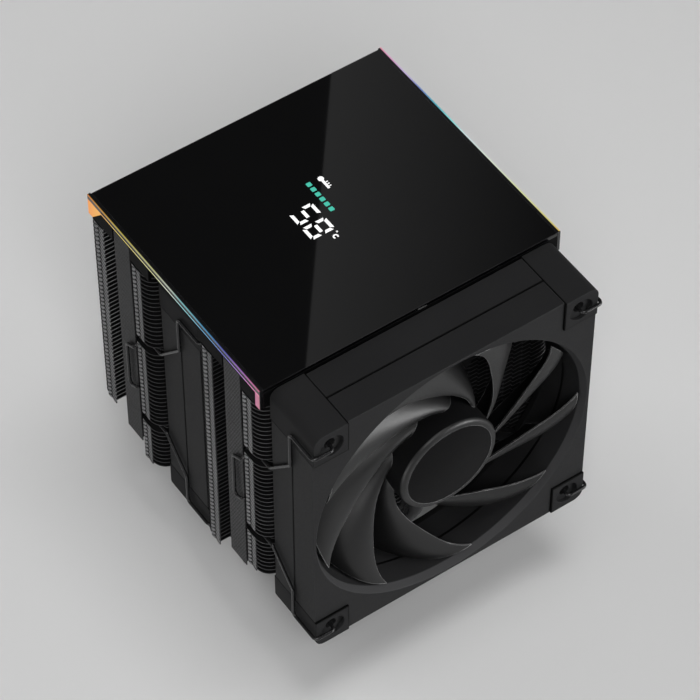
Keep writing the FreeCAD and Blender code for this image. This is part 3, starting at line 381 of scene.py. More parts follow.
finishes = {
    "coated_pipes": dict(
        colour=(0.016, 0.016, 0.017), roughness=0.30, roughSpread=0.06, specular=0.3, grainSize=0.0012,
        grainDepth=0.00001, brush=(1.0, 1.0, 0.15), wearAndGlint=0.2, dust=0.03, coat=0.2, coatRoughness=0.2),
    "plated_base": dict(
        colour=(0.62, 0.60, 0.57), second=(0.70, 0.68, 0.65), wornAndGlint=(0.82, 0.80, 0.78), roughness=0.24,
        roughSpread=0.10, metallic=1.0, grainSize=0.0004, grainDepth=0.000004, brush=(0.06, 1.0, 1.0),
        wearAndGlint=0.4, dust=0.02),
    "clamp_block": dict(
        colour=(0.50, 0.50, 0.50), second=(0.58, 0.58, 0.58), wornAndGlint=(0.8, 0.8, 0.8), roughness=0.34,
        roughSpread=0.10, metallic=1.0, grainSize=0.0005, grainDepth=0.000006, brush=(0.10, 1.0, 1.0),
        wearAndGlint=0.4, dust=0.03),
    "black_steel": dict(
        colour=(0.026, 0.026, 0.028), wornAndGlint=(0.20, 0.20, 0.21), roughness=0.36, metallic=0.3, specular=0.6,
        grainSize=0.0006, grainDepth=0.00001, wearAndGlint=0.5, dust=0.03, coat=0.2, coatRoughness=0.3),
    "screw_steel": dict(
        colour=(0.52, 0.52, 0.53), second=(0.60, 0.60, 0.61), wornAndGlint=(0.85, 0.85, 0.86), roughness=0.26,
        roughSpread=0.10, metallic=1.0, grainSize=0.0005, grainDepth=0.000008, wearAndGlint=0.5, dust=0.02),
    # the blades' light leading and trailing edges are a painted highlight
    "blade_plastic": dict(
        colour=(0.0050, 0.0050, 0.0052), second=(0.0060, 0.0060, 0.0062), wornAndGlint=(0.45, 0.45, 0.455),
        roughness=0.43, specular=0.34, patch=24, grainSize=0.00040, grainDepth=0.000005,
        edgeRadius=0.00020, wearAndGlint=0.9, dust=0.010),
    # the hub's side wall: same moulding as the blades, matt, and darker by painted shade
    "hub_side": dict(
        colour=(0.0030, 0.0030, 0.0032), roughness=0.55, specular=0.1, grainSize=0.0004,
        grainDepth=0.00001, wearAndGlint=0.2, dust=0.0),
    "hub_disc": dict(
        colour=(0.0034, 0.0034, 0.0036), second=(0.0040, 0.0040, 0.0042), roughness=0.48, specular=0.04,
        grainSize=0.00025, grainDepth=0.000006, wearAndGlint=0.3, dust=0.01),
    "magnet": dict(
        colour=(0.035, 0.034, 0.033), wornAndGlint=(0.25, 0.24, 0.23), roughness=0.45, metallic=0.4,
        grainSize=0.0003, grainDepth=0.00001, wearAndGlint=0.5, dust=0.02),
    "shaft_steel": dict(
        colour=(0.60, 0.60, 0.61), wornAndGlint=(0.85, 0.85, 0.86), roughness=0.18, roughSpread=0.08, metallic=1.0,
        grainSize=0.0003, grainDepth=0.000004, brush=(1.0, 0.2, 1.0), wearAndGlint=0.4, dust=0.0),
    "bearing_bronze": dict(
        colour=(0.46, 0.29, 0.12), second=(0.52, 0.34, 0.15), wornAndGlint=(0.75, 0.55, 0.30), roughness=0.36,
        metallic=1.0, grainSize=0.0003, grainDepth=0.00001, wearAndGlint=0.4, dust=0.0),
    "stator_iron": dict(
        colour=(0.22, 0.22, 0.23), wornAndGlint=(0.5, 0.5, 0.5), roughness=0.4, metallic=1.0, grainSize=0.0005,
        grainDepth=0.00002, brush=(0.15, 1.0, 0.15), wearAndGlint=0.4, dust=0.0),
    "coil_copper": dict(
        colour=(0.50, 0.17, 0.055), second=(0.60, 0.22, 0.08), wornAndGlint=(0.85, 0.45, 0.25), roughness=0.28,
        metallic=0.9, grainSize=0.0003, grainDepth=0.00003, brush=(1.0, 0.12, 1.0), wearAndGlint=0.3, dust=0.0,
        coat=0.4, coatRoughness=0.12),
    "clip_wire": dict(
        colour=(0.007, 0.007, 0.0075), second=(0.010, 0.010, 0.0105), wornAndGlint=(0.30, 0.30, 0.31),
        roughness=0.24, roughSpread=0.06, specular=0.30, grainSize=0.0008, grainDepth=0.000004,
        wearAndGlint=0.0, dust=0.0),
    "cover_plastic": dict(
        colour=(0.0028, 0.0028, 0.0030), second=(0.0034, 0.0034, 0.0036), roughness=0.50, specular=0.02,
        patch=30, grainSize=0.00035, grainDepth=0.00001, wearAndGlint=0.30, dust=0.01),
    "circuit_black": dict(
        colour=(0.008, 0.009, 0.010), roughness=0.35, specular=0.5, grainSize=0.0006, grainDepth=0.00001,
        wearAndGlint=0.3, dust=0.02),
    "display_face": dict(
        colour=(0.006, 0.006, 0.007), roughness=0.14, specular=0.5, grainSize=0.0006,
        grainDepth=0.000002, wearAndGlint=0.2, dust=0.02, coat=0.3, coatRoughness=0.05),
    "socket_plastic": dict(
        colour=(0.62, 0.60, 0.54), roughness=0.45, grainSize=0.0004, grainDepth=0.00001, wearAndGlint=0.3,
        dust=0.03),
}

finish = {slotName: plainFinish(slotName, **values) for slotName, values in finishes.items()}

# flange and ribs are given in metres behind the front of their tower
fins = {"count": 52, "plate": (0.007, 0.007, 0.0073), "lying": (0.45, 0.85), "edge": (0.30, 0.30, 0.305),
        # the rear tower's tab colour is darker by painted shade
        "tab": {"front": (0.042, 0.042, 0.0435), "rear": (0.026, 0.026, 0.027)},
        "edgeRadius": 0.00012, "wearAndGlint": 0.35, "grain": 0.0007, "depth": 0.000010, "rough": (0.34, 0.50),
        "specular": 0.08, "cloud": (70.0, 3.0), "cloudRange": (0.3, 0.7, 0.80, 1.15),
        # the rib colours are a painted highlight and a painted shade on the folded ribs
        "ribs": ((0.0060, 0.0111), (0.0304, 0.0359)), "ribHighlight": (0.200, 0.200, 0.204),
        "ribShade": (0.006, 0.006, 0.0065), "ribSlant": 260.0, "ribWave": (0.14, 0.26), "ribLine": 0.00030,
        # the flange colour is painted shade at each fold
        "flange": (0.0115, 0.0229), "flangeShade": (0.014, 0.014, 0.0145), "flangeSlant": 900.0,
        "flangeWave": (0.12, 0.38)}


def slantedLines(tree, along, slant, rise, wave):
    # one line for each fin, slanting across the folded tabs
    climb = mathNode(tree, "MULTIPLY_ADD", along, slant, rise)
    return rangeNode(tree, mathNode(tree, "PINGPONG", climb, 0.5), *wave)


def finFinish(tower):
    # black coat that is thin, and so paler, on the folded tabs and the cut edges
    # slanted lines paint shade at each tab's fold and highlights on the ribs; the rear tower's tabs are
    # darker by painted shade
    material, tree, surface = startMaterial(tower + "_coated_fins")
    low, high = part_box(tower + "_tower_fins")
    place = objectPlace(tree)
    spot = splitParts(tree, place)
    facing = mathNode(tree, "ABSOLUTE", splitParts(tree, surfaceNormal(tree))["Z"])
    lying = rangeNode(tree, facing, *fins["lying"], smooth=True)
    rise = mathNode(tree, "SUBTRACT", spot["Z"], low.z)
    rise = mathNode(tree, "DIVIDE", rise, (high.z - low.z) / fins["count"])
    lower, upper = (low.y + share for share in fins["flange"])
    away = distanceFrom(tree, spot["Y"], (lower + upper) / 2)
    onFlange = mathNode(tree, "LESS_THAN", away, (upper - lower) / 2)
    lines = slantedLines(tree, spot["Y"], fins["flangeSlant"], rise, fins["flangeWave"])
    tone = mixColour(tree, multiply(tree, onFlange, lines), fins["tab"][tower], fins["flangeShade"])
    for start, end in fins["ribs"]:
        away = distanceFrom(tree, spot["Y"], low.y + (start + end) / 2)
        onRib = mathNode(tree, "LESS_THAN", away, (end - start) / 2)
        lines = slantedLines(tree, away, fins["ribSlant"], rise, fins["ribWave"])
        bright = multiply(tree, lines, mathNode(tree, "GREATER_THAN", away, fins["ribLine"]))
        tone = mixColour(tree, onRib, tone, mixColour(tree, bright, fins["ribShade"], fins["ribHighlight"]))
    tone = mixColour(tree, lying, tone, fins["plate"])
    edge = useGroup(tree, edgeWearAndGlint, Radius=fins["edgeRadius"], Amount=fins["wearAndGlint"])["Mask"]
    tone = mixColour(tree, multiply(tree, edge, oneMinus(tree, lying)), tone, fins["edge"])
    cloud = rangeNode(tree, noiseNode(tree, place, *fins["cloud"]), *fins["cloudRange"])
    shade = setInputs(addNode(tree, "VectorMath", "SCALE"), {0: tone, "Scale": cloud})
    texture = useGroup(tree, mouldGrain, Size=fins["grain"], Depth=fins["depth"])
    rough = rangeNode(tree, texture["Mask"], *plain["middling"], *fins["rough"])
    setInputs(surface, {"Base Color": shade.outputs[0], "Roughness": rough, "Normal": texture["Normal"],
                        "Specular IOR Level": fins["specular"]})
    return material


for tower in towers:
    finish[tower + "_coated_fins"] = finFinish(tower)

fanFinishes = {
    # the fan frame's lighter edges are a painted highlight
    "fan_plastic": dict(
        colour=(0.0125, 0.0125, 0.0130), second=(0.0150, 0.0150, 0.0155), wornAndGlint=(0.065, 0.065, 0.066),
        roughness=0.52, specular=0.07, patch=28, grainSize=0.00035, grainDepth=0.000010, wearAndGlint=0.9,
        dust=0.01),
    "fan_rubber": dict(
        colour=(0.0125, 0.0125, 0.0130), second=(0.0150, 0.0150, 0.0155), wornAndGlint=(0.055, 0.055, 0.056),
        roughness=0.64, specular=0.06, patch=35, grainSize=0.00030, grainDepth=0.000012, wearAndGlint=0.6,
        dust=0.015),
}
# where the painted shade of the joints and the painted highlight on the lip lie
fanSeams = {"halves": 0.0125, "halfWidth": 0.00045, "padSpan": 0.0145, "padInside": 0.001, "padLine": 0.0005,
            "lip": (0.0576, 0.0590), "lipDepth": 0.0031}


def fanFinish(fan, slotName):
    # painted shade in a line where the frame's two halves meet, and where the pads meet the frame; a painted
    # highlight rings the duct's lip
    low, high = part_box(fan + "_fan_frame")
    middleZ = (low.z + high.z) / 2
    if slotName == "fan_rubber":
        padEdge = (high.z - low.z) / 2 - fanSeams["padSpan"]
        reach = {"Low": padEdge - fanSeams["padInside"], "High": padEdge + fanSeams["padLine"]}
        seamShades = [{"AlongX": 1.0, **reach}, {"AlongZ": 1.0, "Middle": middleZ, **reach}]
        lip = None
    else:
        middleY = low.y + fanSeams["halves"]
        seamShades = [{"AlongY": 1.0, "Middle": middleY, "Low": -1.0, "High": fanSeams["halfWidth"]}]
        # the lighter ring on the lip is a painted highlight
        inner, outer = fanSeams["lip"]
        lip = {"Middle": middleZ, "Inner": inner, "Outer": outer, "Front": low.y + fanSeams["lipDepth"]}
    return plainFinish(fan + "_" + slotName, seamShades=seamShades, lip=lip, **fanFinishes[slotName])


for fan in fans:
    for slotName in fanFinishes:
        finish[fan + "_" + slotName] = fanFinish(fan, slotName)

circuit = {"mask": (0.010, 0.075, 0.030), "track": (0.020, 0.120, 0.050), "gold": (0.55, 0.38, 0.14),
           "pitch": 0.0022, "trackRange": (0.42, 0.47), "goldRange": (0.10, 0.13, 1.0, 0.0),
           "roughRange": (0.0, 1.0, 0.34, 0.26), "height": 0.00003}


def circuitFinish():
    # solder mask over straight tracks, with a gold pad here and there
    material, tree, surface = startMaterial("circuit_green")
    cells = addNode(tree, "TexVoronoi", Vector=objectPlace(tree), Scale=1 / circuit["pitch"])
    cells.distance, cells.feature = "CHEBYCHEV", "F1"
    line = rangeNode(tree, cells.outputs["Distance"], *circuit["trackRange"])
    gold = rangeNode(tree, cells.outputs["Distance"], *circuit["goldRange"])
    tone = mixColour(tree, line, circuit["mask"], circuit["track"])
    setInputs(surface, {"Base Color": mixColour(tree, gold, tone, circuit["gold"]), "Metallic": gold,
                        "Roughness": rangeNode(tree, line, *circuit["roughRange"]),
                        "Normal": bumpNode(tree, line, circuit["height"])})
    return material


finish["circuit_green"] = circuitFinish()

glass = {"haze": (22.0, 4.0, 0.6), "tones": ((0.0014, 0.0014, 0.0016), (0.0020, 0.0020, 0.0022)),
         "edgeRadius": 0.0005, "wearAndGlint": 0.6, "wornAndGlint": (0.050, 0.050, 0.054), "dust": 0.004,
         "dustColour": (0.30, 0.30, 0.30), "roughRange": (0.2, 0.8, 0.010, 0.022)}


def glassFinish():
    # black lacquered glass: a mirror finish with the faintest polishing haze
    material, tree, surface = startMaterial("gloss_panel")
    haze = noiseNode(tree, objectPlace(tree), *glass["haze"])
    lying = useGroup(tree, fineDust, Amount=glass["dust"])["Mask"]
    edge = useGroup(tree, edgeWearAndGlint, Radius=glass["edgeRadius"], Amount=glass["wearAndGlint"])["Mask"]
    tone = mixColour(tree, edge, mixColour(tree, haze, *glass["tones"]), glass["wornAndGlint"])
    rough = mathNode(tree, "ADD", rangeNode(tree, haze, *glass["roughRange"]), lying)
    setInputs(surface, {"Base Color": mixColour(tree, lying, tone, glass["dustColour"]), "Roughness": rough})
    return material


finish["gloss_panel"] = glassFinish()

glowStops = {  # share of the cover's depth from the front, and the colour there
    "left": [
        (0.0, (1.00, 0.26, 0.42)), (0.045, (0.95, 0.25, 0.62)), (0.11, (0.55, 0.22, 0.85)),
        (0.20, (0.14, 0.16, 0.75)), (0.30, (0.05, 0.42, 0.80)), (0.43, (0.30, 0.85, 0.90)),
        (0.52, (0.90, 1.00, 0.80)), (0.62, (0.95, 0.95, 0.40)), (0.80, (0.90, 0.72, 0.10)),
        (0.93, (1.00, 0.46, 0.04)), (1.0, (1.00, 0.34, 0.02))],
    "right": [
        (0.0, (0.90, 0.60, 0.12)), (0.06, (0.88, 0.80, 0.22)), (0.20, (0.90, 0.95, 0.45)),
        (0.36, (0.90, 1.00, 0.80)), (0.50, (0.85, 1.00, 1.00)), (0.60, (0.25, 0.85, 0.85)),
        (0.68, (0.06, 0.50, 0.62)), (0.77, (0.16, 0.26, 0.70)), (0.86, (0.72, 0.55, 0.95)),
        (0.95, (0.95, 0.40, 0.72)), (1.0, (0.98, 0.35, 0.50))],
}
# the upper line on the left, beside the panel, is the dimmer one
guideGlow = {"strength": 0.75, "lineTop": 0.00028, "lineLow": 0.00055, "soft": 0.00015,
             "lineIn": {"left": 0.00022, "right": 0.00050}, "upperShare": {"left": 0.6, "right": 1.0},
             "seamShare": 0.05, "strip": 0.0012,
             "darkFront": 0.0003, "frontLeg": 0.55, "rearLeg": 1.0, "unlit": (0.004, 0.004, 0.0045),
             "milk": ((0.016, 0.016, 0.0165), (0.024, 0.024, 0.0245)), "cloud": 240.0, "rough": (0.10, 0.20)}


def colourRun(tree, along, stops):
    ramp = addNode(tree, "ValToRGB")
    ramp.color_ramp.interpolation = "EASE"
    for share, colour in stops[1:-1]:
        ramp.color_ramp.elements.new(share)
    for stop, (share, colour) in zip(ramp.color_ramp.elements, stops):
        stop.position, stop.color = share, (*colour, 1)
    return setInputs(ramp, {0: along}).outputs[0]


def guideFinish(side):
    # milky strip: two bright lines along it with a dark seam between, a colour run from front to back
    glow, soft = guideGlow, guideGlow["soft"]
    material, tree, surface = startMaterial("light_diffuser_" + side)
    low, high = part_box(side + "_light_guide")
    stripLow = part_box("cover_frame")[1].z - glow["strip"]
    place = objectPlace(tree)
    parts = splitParts(tree, place)
    along = rangeNode(tree, parts["Y"], low.y, high.y)
    lineX = max(abs(low.x), abs(high.x)) - glow["lineIn"][side]
    topZ, lowZ = high.z - glow["lineTop"], stripLow + glow["lineLow"]
    outer = rangeNode(tree, mathNode(tree, "ABSOLUTE", parts["X"]), lineX - soft, lineX)
    top = rangeNode(tree, parts["Z"], topZ - soft, topZ, glow["seamShare"])
    top = multiply(tree, top, glow["upperShare"][side], outer)
    bottom = rangeNode(tree, parts["Z"], lowZ, lowZ + soft, 1.0, 0.0)
    lit = mathNode(tree, "MAXIMUM", top, bottom)
    lit = multiply(tree, lit, mathNode(tree, "GREATER_THAN", parts["Y"], low.y + glow["darkFront"]))
    atRear = mathNode(tree, "GREATER_THAN", along, 0.5)
    legShare = rangeNode(tree, atRear, 0.0, 1.0, glow["frontLeg"], glow["rearLeg"])
    inLeg = mathNode(tree, "LESS_THAN", parts["Z"], stripLow)
    lit = multiply(tree, lit, oneMinus(tree, multiply(tree, inLeg, oneMinus(tree, legShare))))
    cloudy = noiseNode(tree, place, glow["cloud"])
    milk = mixColour(tree, cloudy, *glow["milk"])
    colours = colourRun(tree, along, glowStops[side])
    setInputs(surface, {"Emission Color": mixColour(tree, lit, (0, 0, 0), colours),
                        "Emission Strength": glow["strength"],
                        "Base Color": mixColour(tree, lit, glow["unlit"], milk),
                        "Roughness": rangeNode(tree, cloudy, *plain["middling"], *glow["rough"])})
    return material


glowFinish = {side: guideFinish(side) for side in sides}

litLook = {"grain": 900.0, "least": 0.90, "shares": (0.3, 0.4), "rough": (0.3, 0.2)}


def litFinish(name, colour, strength):
    # printed light: even glow with a slight fall-off in its grain
    least = litLook["least"]
    material, tree, surface = startMaterial(name)
    grain = noiseNode(tree, objectPlace(tree), litLook["grain"])
    grain = rangeNode(tree, grain, *plain["middling"], least)
    base = (tinted(colour, share) for share in litLook["shares"])
    setInputs(surface, {"Emission Color": mixColour(tree, grain, (0, 0, 0), colour),
                        "Emission Strength": strength, "Base Color": mixColour(tree, grain, *base),
                        "Roughness": rangeNode(tree, grain, least, 1.0, *litLook["rough"])})
    return material


digitWhite = litFinish("digitWhite", (1.0, 1.0, 1.0), 0.80)
barTeal = litFinish("barTeal", (0.070, 0.56, 0.42), 0.62)
print("finishes made:", len(bpy.data.materials))

slotOf = {nodeName: thing.material_slots[0].material.name.split(".")[0] for nodeName, thing in nodes.items()}


def finishOf(nodeName):
    # a fan's plastic and a tower's coat know where its seams and ribs lie
    own = nodeName.split("_")[0] + "_" + slotOf[nodeName]
    return finish.get(own) or finish.get(slotOf[nodeName])


for nodeName, thing in nodes.items():
    if finishOf(nodeName):
        thing.material_slots[0].material = finishOf(nodeName)

smoothUnder = {"rounded": 20, "spring": 40, "rotor": 35, "disc": 30, "guide": 32}  # degrees between two faces


def addPiece(name, shape, material, body, *stoodFor, slotName=None, smooth=None, second=None):
    # a finished bmesh becomes a piece that rides on its body and stands for its CAD nodes
    mesh = bpy.data.meshes.new(name)
    if smooth:
        for face in shape.faces:
            face.smooth = True
        for edge in shape.edges:
            edge.smooth = len(edge.link_faces) == 2 and edge.calc_face_angle(0) < radians(smoothUnder[smooth])
    shape.to_mesh(mesh)
    shape.free()
    for coat in (material, second):
        if coat:
            mesh.materials.append(coat)
    piece = addObject(name, mesh)
    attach(piece, body)
    if stoodFor:
        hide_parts(*stoodFor)
    return piece


merging = {"gap": 0.000005, "flat": 0.5, "seam": 0.000001}  # metres, degrees, and metres in shapes made here


def mergedShape(nodeName):
    # the node's loose triangles joined up, with its flat faces whole again
    mesh = nodes[nodeName].data.copy()
    if "custom_normal" in mesh.attributes:
        mesh.attributes.remove(mesh.attributes["custom_normal"])
    shape = bmesh.new()
    shape.from_mesh(mesh)
    bpy.data.meshes.remove(mesh)
    bmesh.ops.remove_doubles(shape, verts=shape.verts, dist=merging["gap"])
    bmesh.ops.dissolve_limit(shape, angle_limit=radians(merging["flat"]), use_dissolve_boundaries=False,
                             verts=shape.verts, edges=shape.edges, delimit={"NORMAL"})
    return shape


def carryOver(nodeName, pieceName, smooth):
    # the node's own shape as a piece, to be rounded or kept with a mesh of its own
    body = nodes[nodeName]["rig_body"]
    return addPiece(pieceName, mergedShape(nodeName), finishOf(nodeName), body, nodeName, smooth=smooth)


edgeBevel = {"segments": 2, "angle": 20}


def addBevel(piece, width):
    bevel = piece.modifiers.new("edgeRound", "BEVEL")
    bevel.width, bevel.segments, bevel.limit_method = width, edgeBevel["segments"], "ANGLE"
    bevel.angle_limit, bevel.use_clamp_overlap = radians(edgeBevel["angle"]), False
    bevel.harden_normals = True


roundedParts = {  # node: edge radius in metres
    "front_fan_frame": 0.00022, "middle_fan_frame": 0.00022, "front_fan_pads": 0.00030,
    "middle_fan_pads": 0.00030, "cover_frame": 0.00020, "base_plate": 0.00025, "base_top": 0.00040,
    "mount_crossbar": 0.00025,
}
for nodeName, width in roundedParts.items():
    addBevel(carryOver(nodeName, nodeName + "_smooth", "rounded"), width)

# each spring as a smooth piece with a mesh of its own
for side in sides:
    nodeName = side + "_mounting_spring"
    piece = carryOver(nodeName, side + "_screw_spring", "spring")
    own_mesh(piece)
print("carried-over parts:", len(roundedParts), "rounded copies and the springs")

blade = {"count": 9, "first": 1.2, "chordTip": 33.0, "chordRoot": 28.0, "sweep": 80.5, "sweepTip": 58.5,
         "sweepBend": -72.0, "tipBack": 0.0028, "middleBack": 0.0084, "rootBack": 0.0113,
         "tailBack": 0.0207, "camber": 2.2, "nose": 0.00032, "noseFade": 4, "noseRound": 6.0,
         "middle": 0.00085, "swell": 3.2, "swellFade": 1.6, "tail": 0.00035, "tipRadius": 0.0562,
         "rootRadius": 0.0199, "spans": 22, "loop": 36}
# the hub's wall behind part of its rim takes a matt finish whose darker colour is painted shade
hub = {"radius": 0.0208, "rim": 0.0017, "rimSteps": 8, "wall": 0.0018, "face": 0.0020, "setback": 0.0032,
       "capRadius": 0.0182, "capDepth": 0.0005, "boss": 0.0022, "bossRadius": 0.0040, "bore": 0.0015,
       "steps": 128, "mattShadeFrom": 0.9}  # matt behind this share of the rim


def bladePoint(radius, chordShare, offset):
    # a point about the axis, measured from the fan's face
    share = (blade["tipRadius"] - radius) / (blade["tipRadius"] - blade["rootRadius"])
    chord = blade["chordTip"] + (blade["chordRoot"] - blade["chordTip"]) * share
    lastSweep = blade["sweep"] - blade["sweepTip"] - blade["sweepBend"]
    swept = blade["sweepTip"] * share + blade["sweepBend"] * share ** 2 + lastSweep * share ** 3
    angle = radians(blade["first"] - swept - chord * chordShare)
    nose = blade["tipBack"] * (1 - share) ** 2 + 2 * blade["middleBack"] * share * (1 - share)
    nose += blade["rootBack"] * share ** 2
    back = nose + (blade["tailBack"] - nose) * chordShare ** blade["camber"]
    return Vector((radius * cos(angle), back - offset, radius * sin(angle)))


def bladeSection(radius):
    # a closed loop: along the front from the leading edge to the trailing edge, and home along the back
    points = []
    swell = (blade["middle"] - blade["nose"] / 2) * blade["swell"]
    for number in range(blade["loop"]):
        turn = 2 * pi * number / blade["loop"]
        chordShare = (1 - cos(turn)) / 2
        half = blade["nose"] * (1 - chordShare) ** blade["noseFade"] + blade["tail"] * chordShare ** 2
        half += swell * chordShare * (1 - chordShare) ** blade["swellFade"]
        ends = min(1.0, abs(sin(turn)) * blade["noseRound"])  # the edges close in a round nose
        points.append(bladePoint(radius, chordShare, half * (ends if sin(turn) >= 0 else -ends)))
    return points


def addBlade(shape):
    # the section at the root, grown outwards from section to section
    span = blade["tipRadius"] - blade["rootRadius"]
    sections = [bladeSection(blade["rootRadius"] + span * number / (blade["spans"] - 1))
                for number in range(blade["spans"])]
    ring = bmesh.ops.create_circle(shape, segments=blade["loop"], radius=0.01, cap_ends=True)["verts"]
    for vertex, point in zip(ring, sections[0]):
        vertex.co = point
    face = ring[0].link_faces[0]
    made = set(ring)
    for number, (before, section) in enumerate(zip(sections, sections[1:])):
        inner = face
        grown = bmesh.ops.extrude_face_region(shape, geom=[inner])
        face = [part for part in grown["geom"] if isinstance(part, bmesh.types.BMFace)][0]
        if number > 0:
            bmesh.ops.delete(shape, geom=[inner], context="FACES_ONLY")
        loop = [corner.vert for corner in face.loops]
        for vertex in loop:
            nearest = min(range(len(before)), key=lambda n: (before[n] - vertex.co).length)
            vertex.co = section[nearest]
        made.update(loop)
    return list(made)


def hubProfile(back):
    # half of the hub's section: distance from the axis, and from the fan's face
    front, rim, radius, inner = hub["setback"], hub["rim"], hub["radius"], hub["setback"] + hub["face"]
    turns = [pi / 2 * step / hub["rimSteps"] for step in range(hub["rimSteps"] + 1)]
    return [
        (hub["bore"], front + hub["capDepth"]), (hub["capRadius"], front + hub["capDepth"]),
        (hub["capRadius"], front),
        *((radius - rim + rim * sin(turn), front + rim - rim * cos(turn)) for turn in turns),
        (radius, back), (radius - hub["wall"], back), (radius - hub["wall"], inner),
        (hub["bossRadius"], inner), (hub["bossRadius"], inner + hub["boss"]),
        (hub["bore"], inner + hub["boss"])]


def makeRotor(fan):
    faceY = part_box(fan + "_fan_pads")[0].y
    low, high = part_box(fan + "_fan_frame")
    shape = bmesh.new()
    for number in range(blade["count"]):
        turn = Matrix.Rotation(2 * pi * number / blade["count"], 3, "Y")
        bmesh.ops.rotate(shape, verts=addBlade(shape), cent=(0, 0, 0), matrix=turn)
    bladeFaces = set(shape.faces)
    profile = hubProfile(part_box(fan + "_fan_rotor")[1].y - faceY)
    verts = [shape.verts.new((radius, depth, 0)) for radius, depth in profile]
    edges = [shape.edges.new(ends) for ends in zip(verts, verts[1:] + verts[:1])]
    bmesh.ops.spin(shape, geom=verts + edges, cent=(0, 0, 0), axis=(0, 1, 0), angle=2 * pi,
                   steps=hub["steps"], use_merge=True)
    bmesh.ops.remove_doubles(shape, verts=shape.verts, dist=merging["seam"])
    bmesh.ops.recalc_face_normals(shape, faces=shape.faces)
    mattShade = hub["setback"] + hub["rim"] * hub["mattShadeFrom"]
    # the hub wall's faces take the second material: matt, with painted shade
    for face in shape.faces:
        if face not in bladeFaces and face.calc_center_median().y > mattShade:
            face.material_index = 1
    bmesh.ops.translate(shape, verts=shape.verts, vec=(0, faceY, (low.z + high.z) / 2))
    return addPiece(fan + "_rotor_moulding", shape, finish["blade_plastic"], fans[fan], fan + "_fan_rotor",
                    smooth="rotor", second=finish["hub_side"])


for fan in fans:
    makeRotor(fan)
print("rotors moulded:", len(fans), "with", blade["count"], "blades each")

hubDisc = {"segments": 96, "edge": 0.00012}


def makeHubDisc(fan):
    low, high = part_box(fan + "_hub_cap")
    radius = (high.x - low.x) / 2
    shape = bmesh.new()
    bmesh.ops.create_cone(shape, cap_ends=True, segments=hubDisc["segments"], radius1=radius,
                          radius2=radius, depth=high.y - low.y)
    rim = [edge for edge in shape.edges if edge.calc_face_angle(0) > 1]
    bmesh.ops.bevel(shape, geom=rim, offset=hubDisc["edge"], segments=2, profile=0.5, affect="EDGES",
                    material=-1)
    bmesh.ops.rotate(shape, verts=shape.verts, cent=(0, 0, 0), matrix=Matrix.Rotation(pi / 2, 3, "X"))
    bmesh.ops.translate(shape, verts=shape.verts, vec=(low + high) / 2)
    return addPiece(fan + "_hub_disc", shape, finish["hub_disc"], fans[fan], fan + "_hub_cap", smooth="disc")


for fan in fans:
    makeHubDisc(fan)

panel = {"chamfer": 0.0006, "sunk": 0.00003}


def makePanel():
    low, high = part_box("cover_panel")
    size, middle = high - low, (low + high) / 2
    shape = bmesh.new()
    bmesh.ops.create_cube(shape, size=1)
    bmesh.ops.scale(shape, verts=shape.verts, vec=(size.x, size.y, size.z - panel["sunk"]))
    bmesh.ops.translate(shape, verts=shape.verts, vec=middle - Vector((0, 0, panel["sunk"] / 2)))
    rear = [edge for edge in shape.edges if all(v.co.z > middle.z and v.co.y > 0 for v in edge.verts)]
    bmesh.ops.bevel(shape, geom=rear, offset=panel["chamfer"], segments=1, profile=0.5, affect="EDGES",
                    material=-1)
    return addPiece("gloss_panel_glass", shape, finish["gloss_panel"], "display_cover", "cover_panel")


spare(makePanel())

guideEdge = 0.00015
for side in sides:
    nodeName = side + "_light_guide"
    piece = addPiece(side + "_glow_strip", mergedShape(nodeName), glowFinish[side], "display_cover", nodeName,
                     smooth="guide")
    addBevel(piece, guideEdge)

display = {"top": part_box("cover_panel")[1].z, "thick": 0.0004, "digitHeight": 0.0100, "stroke": 0.00130,
           "gap": 0.00150, "baseX": -0.0105, "slant": 0.55}


def vertsOf(made):
    return [part for part in made["geom"] if isinstance(part, bmesh.types.BMVert)]


def addSquare(shape, half):
    return bmesh.ops.create_grid(shape, x_segments=1, y_segments=1, size=half)["verts"]


def printOnPanel(name, shape, material):
    # a flat outline on z 0 gets its thickness and goes to the panel's face
    grown = vertsOf(bmesh.ops.extrude_face_region(shape, geom=shape.faces[:], use_keep_orig=True))
    bmesh.ops.translate(shape, verts=grown, vec=(0, 0, -display["thick"]))
    bmesh.ops.recalc_face_normals(shape, faces=shape.faces)
    bmesh.ops.translate(shape, verts=shape.verts, vec=(0, 0, display["top"]))
    return addPiece(name, shape, material, "display_cover", slotName="display_face")


segments = {  # share of the height and of the width, and which way the long edge faces
    "A": (1, 0.5, -90), "B": (0.75, 1, 180), "C": (0.25, 1, 180), "D": (0, 0.5, 90), "E": (0.25, 0, 0),
    "F": (0.75, 0, 0), "G": (0.5, 0.5, 90),
}
# lit segments, start of the digit, its width
digits = [("AFGCD", 0.00620, 0.0066), ("ABCDEFG", -0.00200, 0.0066)]


